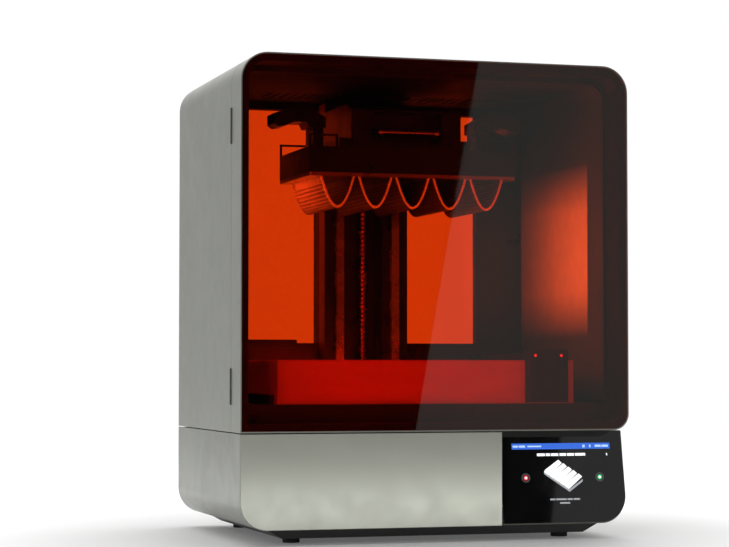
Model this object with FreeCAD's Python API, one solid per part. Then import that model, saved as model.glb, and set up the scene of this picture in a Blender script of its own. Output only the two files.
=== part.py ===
"""Large-format resin printer: a desktop machine with a hinged amber door.

Frame: +Z up, front towards -Y, origin on the ground under the middle of the bounding box.
All sizes are in millimetres. Every sub-part is written to parts/NODE.step.
"""
import FreeCAD, Part
import math
import os

Vector = FreeCAD.Vector

# ---------------------------------------------------------------- driving dimensions: shell
SHELL_W = 664.0            # width over the painted side walls
SHELL_D = 474.0            # door glass to the back of the painted shell
SHELL_H = 761.0            # painted shell without its feet
FOOT_H = 24.0              # ground to the underside of the shell
CORNER_R = 45.0            # big corner radius of the shell, seen from the front
WALL = 2.5                 # painted sheet
BASE_H = 152.6             # electronics base, up to the seam
SEAM = 1.6                 # gap between the base and what stands on it
FIT = 0.3                  # gap between separate pieces that do not touch
CONTACT = 0.05             # gap of pieces screwed face to face
SLIDE = 0.1                # radial gap of rotors and screwed feet
PANEL_T = 3.0              # painted front panel of the base
PANEL_INSET = 0.6          # rear plates inside the outline of the wrap

# door
DOOR_D = 65.0              # depth of the door box
DOOR_SEAM = 1.2            # gap between the door box and the enclosure
DOOR_LOW_R = 27.0          # lower free corner of the door
DOOR_SKIN = 2.0            # painted rim of the door box
GLASS_T = 4.0              # amber door glass
DOOR_BORDER = 14.0         # door frame width round the clear opening
DOOR_TRAY_T = 2.4          # sheet of the black inner tray
HINGE_LEN = 58.0           # one hinge, both knuckles
HINGE_FOOT = 73.3          # seam to the middle of the lower hinge
HINGE_HEAD = 113.0         # middle of the upper hinge to the top of the shell
LEAF_T = 2.5               # hinge leaf
LEAF_REACH = 22.0          # hinge axis to the free edge of a leaf
KNUCKLE_R = 2.2
PIN_R = 1.1
PIN_FIT = 0.06             # radial clearance of hinge and lever pins
HANDLE_FOOT = 2.8          # rounded corner of the door to the grip strip
HANDLE_LEN = 221.0         # grip strip on the free edge of the door
HANDLE_OUT = 2.2           # how far the grip stands out
HANDLE_SETBACK = 10.0      # front of the door to the grip
HANDLE_W = 38.0

# print chamber
LINER_GAP = 17.0           # outside of the shell to the inner face of a chamber wall
CEILING_GAP = 23.0         # top of the shell to the underside of the chamber ceiling
BACK_GAP = 20.0            # chamber's back wall to the back of the shell
LINER_T = 2.5
DECK_RISE = 43.8           # seam to the top of the chamber deck
DECK_T = 5.0
WINDOW_SIDE = 90.0         # chamber wall to a rear window
WINDOW_COVERED = 2.0       # strip of each rear window that the column hides
WINDOW_FOOT = 104.0        # deck to the rear windows
WINDOW_HEAD = 14.0         # rear windows to the ceiling
WINDOW_LAP = 8.0           # rear pane beyond its opening
WINDOW_T = 5.0
VENT_W = 5.0               # air slots of the ceiling
VENT_PITCH = 16.0
VENT_COUNT = 26
HEATER_H = 14.0

# touchscreen
SCREEN_W = 224.5           # bay at the right of the front panel
SCREEN_FOOT = 7.0          # recess of the touchscreen at its lower edge
SCREEN_HEAD = 35.0         # recess of the touchscreen at its upper edge
SCREEN_T = 3.0
SCREEN_CARRIER_T = 3.0
DISPLAY_T = 5.0

# base
FOOT_SIDE = 100.0          # side of the shell to a foot
FOOT_FRONT = 64.8          # front of the shell to a front foot
FOOT_REAR = 65.2           # rear foot to the back of the shell
FOOT_R = 14.0
FOOT_PAD_H = 9.0
STEM_R = 5.0               # threaded stem of a foot
STEM_TOP = 34.0
TRAY_CLEAR = 9.4           # ground to the under-tray
TRAY_T = 3.0
TRAY_SLOPE = 27.0          # how far the tray's ends lean in
FAN_PITCH = 120.0
FAN_MOTOR_GAP = 15.0       # vertical axis motor to the nearer fan
FAN_RIM = 3.0              # fan frame outside its bore
FAN_RISE = 78.0            # underside of the shell to the fans' middle
FAN_R = 40.0
FAN_DEPTH = 25.0
FAN_TIP = 1.5              # blade tip to the bore of its frame
FAN_HUB_R = 15.0
FAN_PIN_R = 3.0
FAN_BLADES = 7
INLET_SIDE = 92.0          # side of the shell to the middle of the mains inlet
INLET_RISE = 60.0          # underside of the shell to the middle of the inlet
INLET_W = 48.0
INLET_H = 28.0
SOCKET_W = 24.0            # opening of the inlet for its plug
SOCKET_H = 16.0
SWITCH_PITCH = 44.0        # inlet to rocker switch
SWITCH_W = 20.0
SWITCH_H = 26.0
PORTS_PITCH = 130.0        # inlet to the socket block
PORTS_W = 56.0
PORTS_H = 18.0
FLANGE_T = 1.5             # flanges that stand out from the rear plate
SUPPLY_W = 172.0           # mains power supply
SUPPLY_D = 90.0
SUPPLY_H = 59.2
BOARD_W = 150.0            # control board
BOARD_D = 110.0
BOARD_T = 1.6
STANDOFF_H = 8.0

# vertical axis
TOWER_W = 156.0            # column
TOWER_D = 39.6
TOWER_WALL = 4.0
CHANNEL_W = 60.0           # channel between its two halves
RAIL_OFFSET = 22.0         # channel wall to the middle of a rail
RAIL_W = 14.0
RAIL_D = 12.0
RAIL_PITCH = 60.0          # pitch of the rail screws
SCREW_R = 8.0
SCREW_FIT = 0.08           # radial gap of the lead screw in its bearings
NUT_WALL = 4.0
NUT_GAP = 0.95             # nut to the column's back web
COUPLER_WALL = 2.5
BEARING_H = 18.0
MOTOR_W = 56.0
MOTOR_H = 58.0
BRACKET_T = 4.0            # motor bracket, with its gap
MOTOR_DROP = 52.0          # deck to the motor's flange
SHAFT_R = 4.0
BLOCK_HALF_W = 20.0        # ball block
BLOCK_HALF_H = 22.0
BLOCK_FACE = 8.0           # ball block in front of its rail
RUN = 0.3                  # running gap of slides
CARRIAGE_T = 12.0

# platform and prints
PARK_DROP = 111.0          # ceiling to the top of the platform at its top rest
PLATFORM_W = 365.6
PLATFORM_H = 49.0          # with its build plate
PLATFORM_WALL = 6.0
FACE_T = 6.0               # build plate
LOOP_T = 3.5               # square loops over the corners of the platform
LOOP_W = 50.0
LOOP_H = 21.0
PLATFORM_REAR_GAP = 24.2   # inside the tank, behind the platform
PLATFORM_FRONT_GAP = 79.8  # front of the tank to the front of the platform
HEAD_W = 196.0             # cantilever arm
HEAD_H = 80.7
HEAD_RIB = 6.0             # ribs between the arm's three cells
HEAD_SETBACK = 39.2        # front of the platform to the arm
STEP_OUT = 20.0            # locating steps low on both sides of the arm
LEVER_REACH = 26.0         # bar of the release handle to its cross pin
LEVER_PIN_R = 3.0
LEVER_BAR_R = 4.5
KNOB_RIM = 3.0             # knobs stand this far round the bar
LEVER_LIFT = 70.0          # degrees the handle lifts
KNOB_GAP = 1.0             # lifted knobs to the roof of their recess
PRINT_PITCH = 66.0         # one print and the gap beside it
PRINT_R = 30.5             # half the width of a print at the build plate
PRINT_WALL = 5.0
PRINT_DROP = 53.0

# tank
TANK_SIDE_GAP = 57.8       # chamber wall to the tank
TANK_H = 72.0
TANK_WALL = 6.0
TANK_FLOOR = 7.0
TANK_FRONT_GAP = 57.0      # front of the door to the tank
TANK_REAR_GAP = 57.35      # tank to the column
GUIDE_GAP = 0.6            # tank between its guides
FILM_EDGE = 21.2           # side of the tank to the edge of the film
LCD_SIDE_GAP = 54.0        # side of the tank to the display window of the deck
LCD_FRONT_GAP = 79.0       # front of the tank to the display window
LCD_REAR_GAP = 19.0        # display window to the back of the tank
LIGHT_H = 119.0            # light unit under the deck
LIGHT_WALL = 4.0
MIXER_SIDE = 16.2          # side of the tank to the mixer
MIXER_W = 74.0
MIXER_H = 17.7             # mixer above the rim of the tank

# rear housing
CARTRIDGE_W = 186.0
CARTRIDGE_D = 42.0
CARTRIDGE_H = 104.0
POCKET_GAP = 0.6           # cartridge in its pocket
POCKET_WALL = 5.4
POCKET_FLOOR_T = 6.0
POCKET_END = 16.4          # pocket to the end of the housing, and to the upright cover
HOUSING_SIDE = 42.0        # side of the shell to the end of the housing
HOUSING_RISE = 7.8         # seam to the underside of the housing
HOUSING_H = 120.0
COVER_HEAD = 17.0          # cover to the top of the shell
COVER_T = 3.0
SCREW_HEAD_R = 4.0         # button heads on the back
SCREW_HEAD_H = 2.2

# ---------------------------------------------------------------- derived places
REAR_D = CARTRIDGE_D + 2 * (POCKET_GAP + POCKET_WALL)
HALF_W = SHELL_W / 2
Y_FRONT = -(SHELL_D + REAR_D) / 2
Y_SHELL = Y_FRONT + SHELL_D
Y_BACK = Y_SHELL + REAR_D
Z_SHELL = FOOT_H
Z_TOP = FOOT_H + SHELL_H
Z_BASE = Z_SHELL + BASE_H
Z_DOOR = Z_BASE + SEAM
Y_DOOR = Y_FRONT + DOOR_D
Y_LIP = Y_FRONT + PANEL_T + 1.0       # front edge of the base side walls
PLATE_BACK = Y_SHELL - CONTACT        # rear plates of the base and the enclosure
PLATE_FRONT = PLATE_BACK - WALL
WRAP_BACK = PLATE_FRONT - CONTACT
WRAP_FRONT = Y_DOOR + DOOR_SEAM / 2
DOOR_BACK = Y_DOOR - DOOR_SEAM / 2
GLASS_BACK = Y_FRONT + FIT + GLASS_T
HINGE_Z = (Z_DOOR + HINGE_FOOT, Z_TOP - HINGE_HEAD)
HINGE_ROOM = HINGE_LEN / 2 + 0.8
HANDLE_Y = (Y_FRONT + HANDLE_SETBACK, Y_FRONT + HANDLE_SETBACK + HANDLE_W)
HANDLE_Z = (Z_DOOR + DOOR_LOW_R + HANDLE_FOOT, Z_DOOR + DOOR_LOW_R + HANDLE_FOOT + HANDLE_LEN)

LINER_X = HALF_W - LINER_GAP
LINER_R = max(CORNER_R - LINER_GAP, 0)  # outer corner of the chamber lining
CEILING_Z = Z_TOP - CEILING_GAP
CHAMBER_BACK = Y_SHELL - BACK_GAP
CHAMBER_FRONT = WRAP_FRONT + 3.0
DECK_Z = Z_DOOR + DECK_RISE
DECK_FRONT = WRAP_FRONT + 4.0
DECK_UNDER = DECK_Z - DECK_T

SCREEN_X = HALF_W - SCREEN_W
FOOT_X = HALF_W - FOOT_SIDE
FOOT_PLACES = [(x, y) for x in (-FOOT_X, FOOT_X) for y in (Y_FRONT + FOOT_FRONT, Y_SHELL - FOOT_REAR)]
FIRST_FAN_X = MOTOR_W / 2 + BRACKET_T + FAN_MOTOR_GAP + FAN_RIM + FAN_R
FAN_X = (FIRST_FAN_X, FIRST_FAN_X + FAN_PITCH)
FAN_Z = Z_SHELL + FAN_RISE
INLET_X = -HALF_W + INLET_SIDE
INLET_Z = Z_SHELL + INLET_RISE
SWITCH_X = INLET_X + SWITCH_PITCH
PORTS_X = INLET_X + PORTS_PITCH
FLOOR_Z = Z_SHELL + WALL + FIT         # underside of what stands in the base

TOWER_X = TOWER_W / 2
CHANNEL_X = CHANNEL_W / 2
TOWER_BACK = CHAMBER_BACK - CONTACT
TOWER_Y = TOWER_BACK - TOWER_D
TOWER_TOP = CEILING_Z - 4.0
RAIL_X = CHANNEL_X + RAIL_OFFSET
RAIL_Y = TOWER_Y - CONTACT - RAIL_D
RAIL_Z = (DECK_Z + 10.0, CEILING_Z - 10.0)
BLOCK_FRONT = RAIL_Y - BLOCK_FACE
CARRIAGE_BACK = BLOCK_FRONT - CONTACT
CARRIAGE_FRONT = CARRIAGE_BACK - CARRIAGE_T
NUT_R = SCREW_R + NUT_WALL
SCREW_Y = TOWER_BACK - TOWER_WALL - NUT_GAP - NUT_R
MOTOR_Z = DECK_Z - MOTOR_DROP
COUPLER_Z = MOTOR_Z + 14.0
SCREW_FOOT = COUPLER_Z + 14.0
WINDOW_X = (TOWER_X - WINDOW_COVERED, LINER_X - WINDOW_SIDE)
WINDOW_Z = (DECK_Z + WINDOW_FOOT, CEILING_Z - WINDOW_HEAD)

TANK_X = LINER_X - TANK_SIDE_GAP
TANK_FRONT = Y_FRONT + TANK_FRONT_GAP
TANK_BACK = TOWER_Y - TANK_REAR_GAP
TANK_Z = DECK_Z + FIT
TANK_TOP = TANK_Z + TANK_H
FILM_Z = TANK_Z + TANK_FLOOR
FILM_X = TANK_X - FILM_EDGE
FILM_Y = (TANK_FRONT + 30.0, TANK_BACK - 14.0)
LCD_X = FILM_X - LCD_SIDE_GAP
LCD_Y = (TANK_FRONT + LCD_FRONT_GAP, TANK_BACK - LCD_REAR_GAP)
LIGHT_X = LCD_X + 2 * LIGHT_WALL
LIGHT_Y = (LCD_Y[0] - 2 * LIGHT_WALL, LCD_Y[1] + 2 * LIGHT_WALL)
LIGHT_Z = (DECK_UNDER - LIGHT_H, DECK_UNDER - CONTACT)
MIXER_X = (TANK_X - MIXER_SIDE - MIXER_W, TANK_X - MIXER_SIDE)
MIXER_TOP = TANK_TOP + MIXER_H

PLATFORM_X = PLATFORM_W / 2
PLATFORM_FRONT = TANK_FRONT + PLATFORM_FRONT_GAP
PLATFORM_BACK = TANK_BACK - PLATFORM_REAR_GAP
PLATFORM_Z = (CEILING_Z - PARK_DROP - PLATFORM_H, CEILING_Z - PARK_DROP)
HEAD_X = HEAD_W / 2
HEAD_Z = (PLATFORM_Z[1] + FIT, PLATFORM_Z[1] + FIT + HEAD_H)
HEAD_FRONT = PLATFORM_FRONT + HEAD_SETBACK
HEAD_BACK = CARRIAGE_FRONT - CONTACT
BLOCK_Z = (PLATFORM_Z[1] - 21.0, PLATFORM_Z[1] + 49.0)
LEVER_Y = HEAD_FRONT + 18.0
LEVER_Z = PLATFORM_Z[1] + 33.0
BAR_Y = LEVER_Y - LEVER_REACH
BAR_Z = LEVER_Z - 2.0
RECESS_TOP = LEVER_Z + LEVER_REACH * math.sin(math.radians(LEVER_LIFT)) + LEVER_BAR_R + KNOB_RIM + KNOB_GAP
PRINT_COUNT = int(PLATFORM_W // PRINT_PITCH)
PRINT_Y = (PLATFORM_FRONT + PLATFORM_WALL, PLATFORM_BACK - PLATFORM_WALL)

SUPPLY_X = -FOOT_X + STEM_R + 3.0      # beside the rear foot
SUPPLY_Y = LIGHT_Y[1] + 5.0
BOARD_X = SUPPLY_X + SUPPLY_W + 10.0
BOARD_Y = PLATE_FRONT - 57.5 - BOARD_D

HOUSING_Z = (Z_DOOR + HOUSING_RISE, Z_DOOR + HOUSING_RISE + HOUSING_H)
POCKET_FLOOR = HOUSING_Z[0] + POCKET_FLOOR_T
HOUSING_X = HALF_W - HOUSING_SIDE
CARTRIDGE_X = HOUSING_X - POCKET_END - POCKET_GAP - CARTRIDGE_W / 2
COVER_X = CARTRIDGE_X - CARTRIDGE_W / 2 - POCKET_GAP - POCKET_END   # upright cover between the pockets
COVER_TOP = Z_TOP - COVER_HEAD
HOUSING_FRONT = Y_SHELL + CONTACT
POCKET_Y = (HOUSING_FRONT + Y_BACK) / 2


# ---------------------------------------------------------------- helpers
def box(x0, x1, y0, y1, z0, z1):
    """A block between two corners."""
    return Part.makeBox(x1 - x0, y1 - y0, z1 - z0, Vector(x0, y0, z0))


def both_sides(x0, x1, y0, y1, z0, z1):
    """The same block left and right of the middle plane."""
    return [box(x0, x1, y0, y1, z0, z1), box(-x1, -x0, y0, y1, z0, z1)]


def rod(x, y, z, radius, length, axis=(0, 0, 1)):
    """A round bar that starts at (x, y, z)."""
    return Part.makeCylinder(radius, length, Vector(x, y, z), Vector(*axis))


def ring(x, y, z, radius, width, length):
    """A flat ring about an axis along Y."""
    return rod(x, y, z, radius, length, (0, 1, 0)).cut(rod(x, y, z, radius - width, length, (0, 1, 0)))


def union(shapes):
    """One shape of many, with its coplanar faces joined."""
    first = shapes[0]
    rest = shapes[1:]
    joined = first.fuse(rest) if rest else first
    return joined.removeSplitter()


def without(body, cuts):
    """The body with every cut taken out."""
    for cut in cuts:
        body = body.cut(cut)
    return body


def mirrored(shape):
    """The same shape on the other side of the middle plane."""
    return shape.mirror(Vector(0, 0, 0), Vector(1, 0, 0))


def pair(shape):
    """The shape and its mirror image, as one sub-part."""
    return Part.makeCompound([mirrored(shape), shape])


def prism_x(points, x0, x1):
    """A polygon of (y, z) points drawn out along X."""
    corners = [Vector(x0, y, z) for y, z in points]
    face = Part.Face(Part.makePolygon(corners + corners[:1]))
    return face.extrude(Vector(x1 - x0, 0, 0))


def prism_y(points, y0, y1):
    """A polygon of (x, z) points drawn out along Y."""
    corners = [Vector(x, y0, z) for x, z in points]
    face = Part.Face(Part.makePolygon(corners + corners[:1]))
    return face.extrude(Vector(0, y1 - y0, 0))


def outline(x0, x1, z0, z1, radii=(0, 0, 0, 0)):
    """A rounded front outline; radii run top left, top right, bottom right, bottom left."""
    return {"x": (x0, x1), "z": (z0, z1), "radii": radii}


def inset(shape, gap, foot=None):
    """The outline moved inwards all round, or down to its own foot height."""
    x0, x1 = shape["x"]
    z0, z1 = shape["z"]
    radii = tuple(max(r - gap, 0) for r in shape["radii"])
    low = z0 + gap if foot is None else foot
    return outline(x0 + gap, x1 - gap, low, z1 - gap, radii)


def plate(shape, y0, y1):
    """An outline drawn out along Y."""
    x0, x1 = shape["x"]
    z0, z1 = shape["z"]
    tl, tr, br, bl = shape["radii"]
    corners = (
        (x0 + tl, z1 - tl, tl, 180),
        (x1 - tr, z1 - tr, tr, 90),
        (x1 - br, z0 + br, br, 0),
        (x0 + bl, z0 + bl, bl, 270),
    )
    edges = []
    ends = []
    for cx, cz, radius, start in corners:
        arc = []
        for turn in (0, 45, 90):
            angle = math.radians(start - turn)
            arc.append(Vector(cx + radius * math.cos(angle), y0, cz + radius * math.sin(angle)))
        ends.append((arc[0], arc[2]))
        if radius > 0:
            edges.append(Part.Arc(arc[0], arc[1], arc[2]).toShape())
    for index in range(4):
        start = ends[index][1]
        stop = ends[(index + 1) % 4][0]
        edges.append(Part.LineSegment(start, stop).toShape())
    wire = Part.Wire(Part.__sortEdges__(edges))
    return Part.Face(wire).extrude(Vector(0, y1 - y0, 0))


def ring_plate(shape, outer_gap, inner_gap, y0, y1):
    """The band between two insets of one outline, drawn out along Y."""
    return plate(inset(shape, outer_gap), y0, y1).cut(plate(inset(shape, inner_gap), y0, y1))


def rounded(shape, radius, direction):
    """The shape with its straight edges along one axis rounded."""
    edges = []
    for edge in shape.Edges:
        if len(edge.Vertexes) == 2 and isinstance(edge.Curve, Part.Line):
            along = edge.Vertexes[1].Point - edge.Vertexes[0].Point
            if abs(along.normalize().dot(Vector(*direction))) > 0.999:
                edges.append(edge)
    return shape.makeFillet(radius, edges)


BASE = outline(-HALF_W, HALF_W, Z_SHELL, Z_BASE, (0, 0, CORNER_R, CORNER_R))
UPPER = outline(-HALF_W, HALF_W, Z_DOOR, Z_TOP, (CORNER_R, CORNER_R, 0, 0))
DOOR = outline(-HALF_W, HALF_W, Z_DOOR, Z_TOP, (CORNER_R, CORNER_R, DOOR_LOW_R, 0))
LINING = outline(-LINER_X - LINER_T, LINER_X + LINER_T, DECK_Z + FIT, CEILING_Z + LINER_T,
                 (LINER_R, LINER_R, 0, 0))


# ---------------------------------------------------------------- base
def base_wrap():
    """U-shaped painted sheet: floor and both side walls of the base."""
    body = plate(BASE, Y_LIP, WRAP_BACK)
    hollow = inset(BASE, WALL)
    hollow["z"] = (hollow["z"][0], Z_BASE + 1)
    body = body.cut(plate(hollow, Y_LIP - 1, Y_SHELL))
    body = body.cut(screen_front(SCREEN_T + CONTACT, SCREEN_X + FIT, HALF_W + 1))
    holes = [rod(x, y, Z_SHELL - 1, STEM_R + FIT, WALL + 2) for x, y in FOOT_PLACES]
    dash_y = Y_DOOR + 10.6
    dashes = [box(-HALF_W - 1, -HALF_W + 0.8, dash_y, dash_y + 0.8, Z_BASE - low, Z_BASE - low + 13)
              for low in (15.6, 39.6)]
    return without(body, holes + dashes)


def base_front_panel():
    """Painted front plate left of the touchscreen, with a return behind its free edge."""
    face = outline(-HALF_W, SCREEN_X, Z_SHELL, Z_BASE, (0, 0, 0, CORNER_R))
    body = plate(face, Y_FRONT, Y_FRONT + PANEL_T)
    front_edges = [e for e in body.Edges if abs(e.BoundBox.YMax - Y_FRONT) < 1e-6]
    body = body.makeChamfer(0.8, front_edges)
    cheek_back = Y_FRONT + SCREEN_HEAD + 10
    cheek = box(SCREEN_X - PANEL_T, SCREEN_X, Y_FRONT + PANEL_T, cheek_back, Z_SHELL + WALL + 1.5, Z_BASE)
    return union([body, cheek])


def screen_line(offset):
    """The leaning touchscreen plane, moved back by an offset: its lower and upper (y, z) ends."""
    slope = (SCREEN_HEAD - SCREEN_FOOT) / BASE_H
    margin = 10.0
    low = (Y_FRONT + SCREEN_FOOT + offset - slope * margin, Z_SHELL - margin)
    high = (Y_FRONT + SCREEN_HEAD + offset + slope * margin, Z_BASE + margin)
    return low, high


def screen_slab(offset, thickness, x0, x1):
    """A slab that lies parallel to the touchscreen."""
    low, high = screen_line(offset)
    low_back, high_back = screen_line(offset + thickness)
    return prism_x([low, high, high_back, low_back], x0, x1)


def screen_front(offset, x0, x1):
    """Everything in front of the touchscreen plane."""
    low, high = screen_line(offset)
    front = Y_FRONT - 20.0
    return prism_x([low, high, (front, high[1]), (front, low[1])], x0, x1)


def screen_layer(offset, thickness, gap):
    """One layer of the touchscreen stack, cut to the bay's outline less a gap."""
    bay = outline(SCREEN_X + 6, HALF_W, Z_SHELL + 2.4, Z_BASE, (0, 0, CORNER_R, 2))
    slab = screen_slab(offset, thickness, SCREEN_X, HALF_W + 1)
    return slab.common(plate(inset(bay, gap), Y_FRONT, Y_FRONT + SCREEN_HEAD + 45))


def display_module():
    """Black carrier behind the touchscreen glass, with the colour display on its back."""
    carrier = screen_layer(SCREEN_T + CONTACT, SCREEN_CARRIER_T, WALL + 1)
    slab = screen_slab(SCREEN_T + SCREEN_CARRIER_T, DISPLAY_T, SCREEN_X + 22, HALF_W - 28)
    display = slab.common(box(SCREEN_X, HALF_W, Y_FRONT, 0, Z_SHELL + 26, Z_BASE - 20))
    return union([carrier, display])


def base_rear_panel():
    """Rear plate of the base: mains inlet, switch, sockets, two fan openings and air slots."""
    y0 = PLATE_FRONT - 1
    y1 = PLATE_BACK + 1
    cuts = []
    openings = ((INLET_X, INLET_W, INLET_H), (SWITCH_X, SWITCH_W, SWITCH_H), (PORTS_X, PORTS_W, PORTS_H))
    for x, width, height in openings:
        cuts.append(box(x - width / 2 - FIT, x + width / 2 + FIT, y0, y1,
                        INLET_Z - height / 2 - FIT, INLET_Z + height / 2 + FIT))
    cuts += [rod(x, y0, FAN_Z, FAN_R, y1 - y0, (0, 1, 0)) for x in FAN_X]
    slot_w = 4.0
    slot_pitch = 12.0
    first = PORTS_X + PORTS_W / 2 + slot_pitch
    room = FAN_X[0] - FAN_R - 20 - first
    for index in range(int(room // slot_pitch) + 1):
        x = first + index * slot_pitch
        cuts.append(box(x - slot_w / 2, x + slot_w / 2, y0, y1, FAN_Z - 32, FAN_Z + 32))
    return without(plate(inset(BASE, PANEL_INSET), PLATE_FRONT, PLATE_BACK), cuts)


def power_inlet():
    """Three-pin appliance inlet and the frame of the rocker switch, on one flange."""
    half_w = INLET_W / 2
    half_h = INLET_H / 2
    depth = 22.0
    outside = PLATE_BACK + FLANGE_T
    shell = box(INLET_X - half_w, INLET_X + half_w, PLATE_FRONT - depth, outside,
                INLET_Z - half_h, INLET_Z + half_h)
    flange = box(INLET_X - half_w, SWITCH_X + SWITCH_W / 2, PLATE_BACK + CONTACT, outside,
                 INLET_Z - half_h, INLET_Z + half_h)
    body = union([shell, flange])
    socket = box(INLET_X - SOCKET_W / 2, INLET_X + SOCKET_W / 2, PLATE_BACK - 14, PLATE_BACK + 2,
                 INLET_Z - SOCKET_H / 2, INLET_Z + SOCKET_H / 2)
    body = body.cut(rounded(socket, 3, (0, 1, 0)))
    room = box(SWITCH_X - SWITCH_W / 2, SWITCH_X + SWITCH_W / 2, PLATE_BACK, PLATE_BACK + 2,
               INLET_Z - SWITCH_H / 2, INLET_Z + SWITCH_H / 2)
    body = body.cut(room)
    pins = [box(INLET_X + dx - 1, INLET_X + dx + 1, PLATE_BACK - 15, PLATE_BACK - 6,
                INLET_Z + dz - 2, INLET_Z + dz + 2) for dx, dz in ((-7, -1), (0, 2), (7, -1))]
    return union([body, switch_frame()] + pins)


def switch_frame():
    """Frame of the rocker switch, snapped into the rear panel."""
    y0 = PLATE_FRONT - 16
    half = SWITCH_W / 2
    tall = SWITCH_H / 2
    body = box(SWITCH_X - half, SWITCH_X + half, y0, PLATE_BACK + FLANGE_T, INLET_Z - tall, INLET_Z + tall)
    pocket = box(SWITCH_X - half + 1.6, SWITCH_X + half - 1.6, y0 + 3, PLATE_BACK + 5,
                 INLET_Z - tall + 1.2, INLET_Z + tall - 1.2)
    return body.cut(pocket)


def power_switch():
    """Rocker that tilts in its frame on two short round trunnions."""
    half = SWITCH_W / 2 - 2.4
    tall = SWITCH_H / 2 - 3.2
    points = [
        (PLATE_BACK + 0.4, INLET_Z),
        (PLATE_BACK + 3.2, INLET_Z + tall),
        (PLATE_BACK - 8, INLET_Z + tall - 2),
        (PLATE_BACK - 8, INLET_Z - tall + 2),
        (PLATE_BACK + 0.4, INLET_Z - tall),
    ]
    trunnions = rod(SWITCH_X - half - 0.5, PLATE_BACK - 4, INLET_Z, 1.5, 2 * half + 1, (1, 0, 0))
    return union([prism_x(points, SWITCH_X - half, SWITCH_X + half), trunnions])


def port_block():
    """Network and service sockets on one carrier."""
    half_w = PORTS_W / 2
    half_h = PORTS_H / 2
    body = box(PORTS_X - half_w, PORTS_X + half_w, PLATE_FRONT - 14, PLATE_BACK + 0.6,
               INLET_Z - half_h, INLET_Z + half_h)
    sockets = [box(PORTS_X + dx - w, PORTS_X + dx + w, PLATE_BACK - 11, PLATE_BACK + 2,
                   INLET_Z - h, INLET_Z + h)
               for dx, w, h in ((-15, 6.5, 6.0), (3, 6.0, 3.0), (19, 4.5, 1.7))]
    return without(body, sockets)


def fan_guard(x):
    """Finger guard: rings and spokes over one fan opening."""
    y0 = PLATE_BACK + CONTACT
    wire = 1.6
    radii = (FAN_R + 3, FAN_R - 8, FAN_R - 18, FAN_R - 28)
    pieces = [ring(x, y0, FAN_Z, radius, wire, wire) for radius in radii]
    for index in range(4):
        spoke = box(-FAN_R - 2, FAN_R + 2, y0, y0 + wire, -1, 1)
        spoke.rotate(Vector(0, 0, 0), Vector(0, 1, 0), index * 45)
        spoke.translate(Vector(x, 0, FAN_Z))
        pieces.append(spoke)
    return union(pieces)


def fan_frame(x):
    """Square frame of one fan, with arms and hub pin."""
    y0 = PLATE_FRONT - CONTACT - FAN_DEPTH
    half = FAN_R + FAN_RIM
    body = box(x - half, x + half, y0, y0 + FAN_DEPTH, FAN_Z - half, FAN_Z + half)
    body = body.cut(rod(x, y0 - 1, FAN_Z, FAN_R, FAN_DEPTH + 2, (0, 1, 0)))
    arm = FAN_R + 1
    return union([
        body,
        box(x - arm, x + arm, y0, y0 + 3, FAN_Z - 2, FAN_Z + 2),
        box(x - 2, x + 2, y0, y0 + 3, FAN_Z - arm, FAN_Z + arm),
        rod(x, y0, FAN_Z, FAN_HUB_R - 1, 3, (0, 1, 0)),
        rod(x, y0, FAN_Z, FAN_PIN_R, 12, (0, 1, 0)),
    ])


def fan_rotor(x):
    """Bladed rotor that runs on its frame's hub pin."""
    y1 = PLATE_FRONT - CONTACT - 3
    y0 = y1 - FAN_DEPTH + 8
    tip = FAN_R - FAN_TIP
    pieces = [rod(x, y0, FAN_Z, FAN_HUB_R, y1 - y0, (0, 1, 0))]
    for index in range(FAN_BLADES):
        blade = box(FAN_HUB_R - 5, tip, -1, 1, -9, 9)
        blade.rotate(Vector(0, 0, 0), Vector(1, 0, 0), 55)
        blade.rotate(Vector(0, 0, 0), Vector(0, 1, 0), index * 360 / FAN_BLADES)
        blade.translate(Vector(x, (y0 + y1) / 2, FAN_Z))
        pieces.append(blade)
    swept = rod(x, y0, FAN_Z, tip, y1 - y0, (0, 1, 0))
    bore = rod(x, y0 - 1, FAN_Z, FAN_PIN_R + SLIDE, 10, (0, 1, 0))
    return union(pieces).common(swept).cut(bore)


def under_tray():
    """Black tray under the base, with sloping ends and a boss round each foot."""
    top = Z_SHELL - CONTACT
    wide = HALF_W - 47.0
    narrow = wide - TRAY_SLOPE
    y0 = Y_FRONT + 22.0
    y1 = Y_SHELL - 20.0
    ends = [(-wide, top), (wide, top), (narrow, TRAY_CLEAR), (-narrow, TRAY_CLEAR)]
    body = prism_y(ends, y0, y1)
    floor = TRAY_CLEAR + TRAY_T
    room = [(-wide + 7, top + 1), (wide - 7, top + 1), (narrow - 5, floor), (-narrow + 5, floor)]
    body = body.cut(prism_y(room, y0 + 4, y1 - 4))
    for x, y in FOOT_PLACES:
        boss = rod(x, y, TRAY_CLEAR, STEM_R + 7, top - TRAY_CLEAR)
        body = body.fuse(boss).cut(rod(x, y, TRAY_CLEAR - 1, STEM_R + SLIDE, FOOT_H))
    return body


def foot(x, y):
    """Levelling foot: rubber-faced pad on a threaded stem."""
    pad = rod(x, y, 0, FOOT_R, FOOT_PAD_H)
    low_edge = [e for e in pad.Edges if e.BoundBox.ZMax < 0.1]
    pad = pad.makeFillet(1.2, low_edge)
    return union([pad, rod(x, y, FOOT_PAD_H - 1, STEM_R, STEM_TOP - FOOT_PAD_H + 1)])


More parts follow.
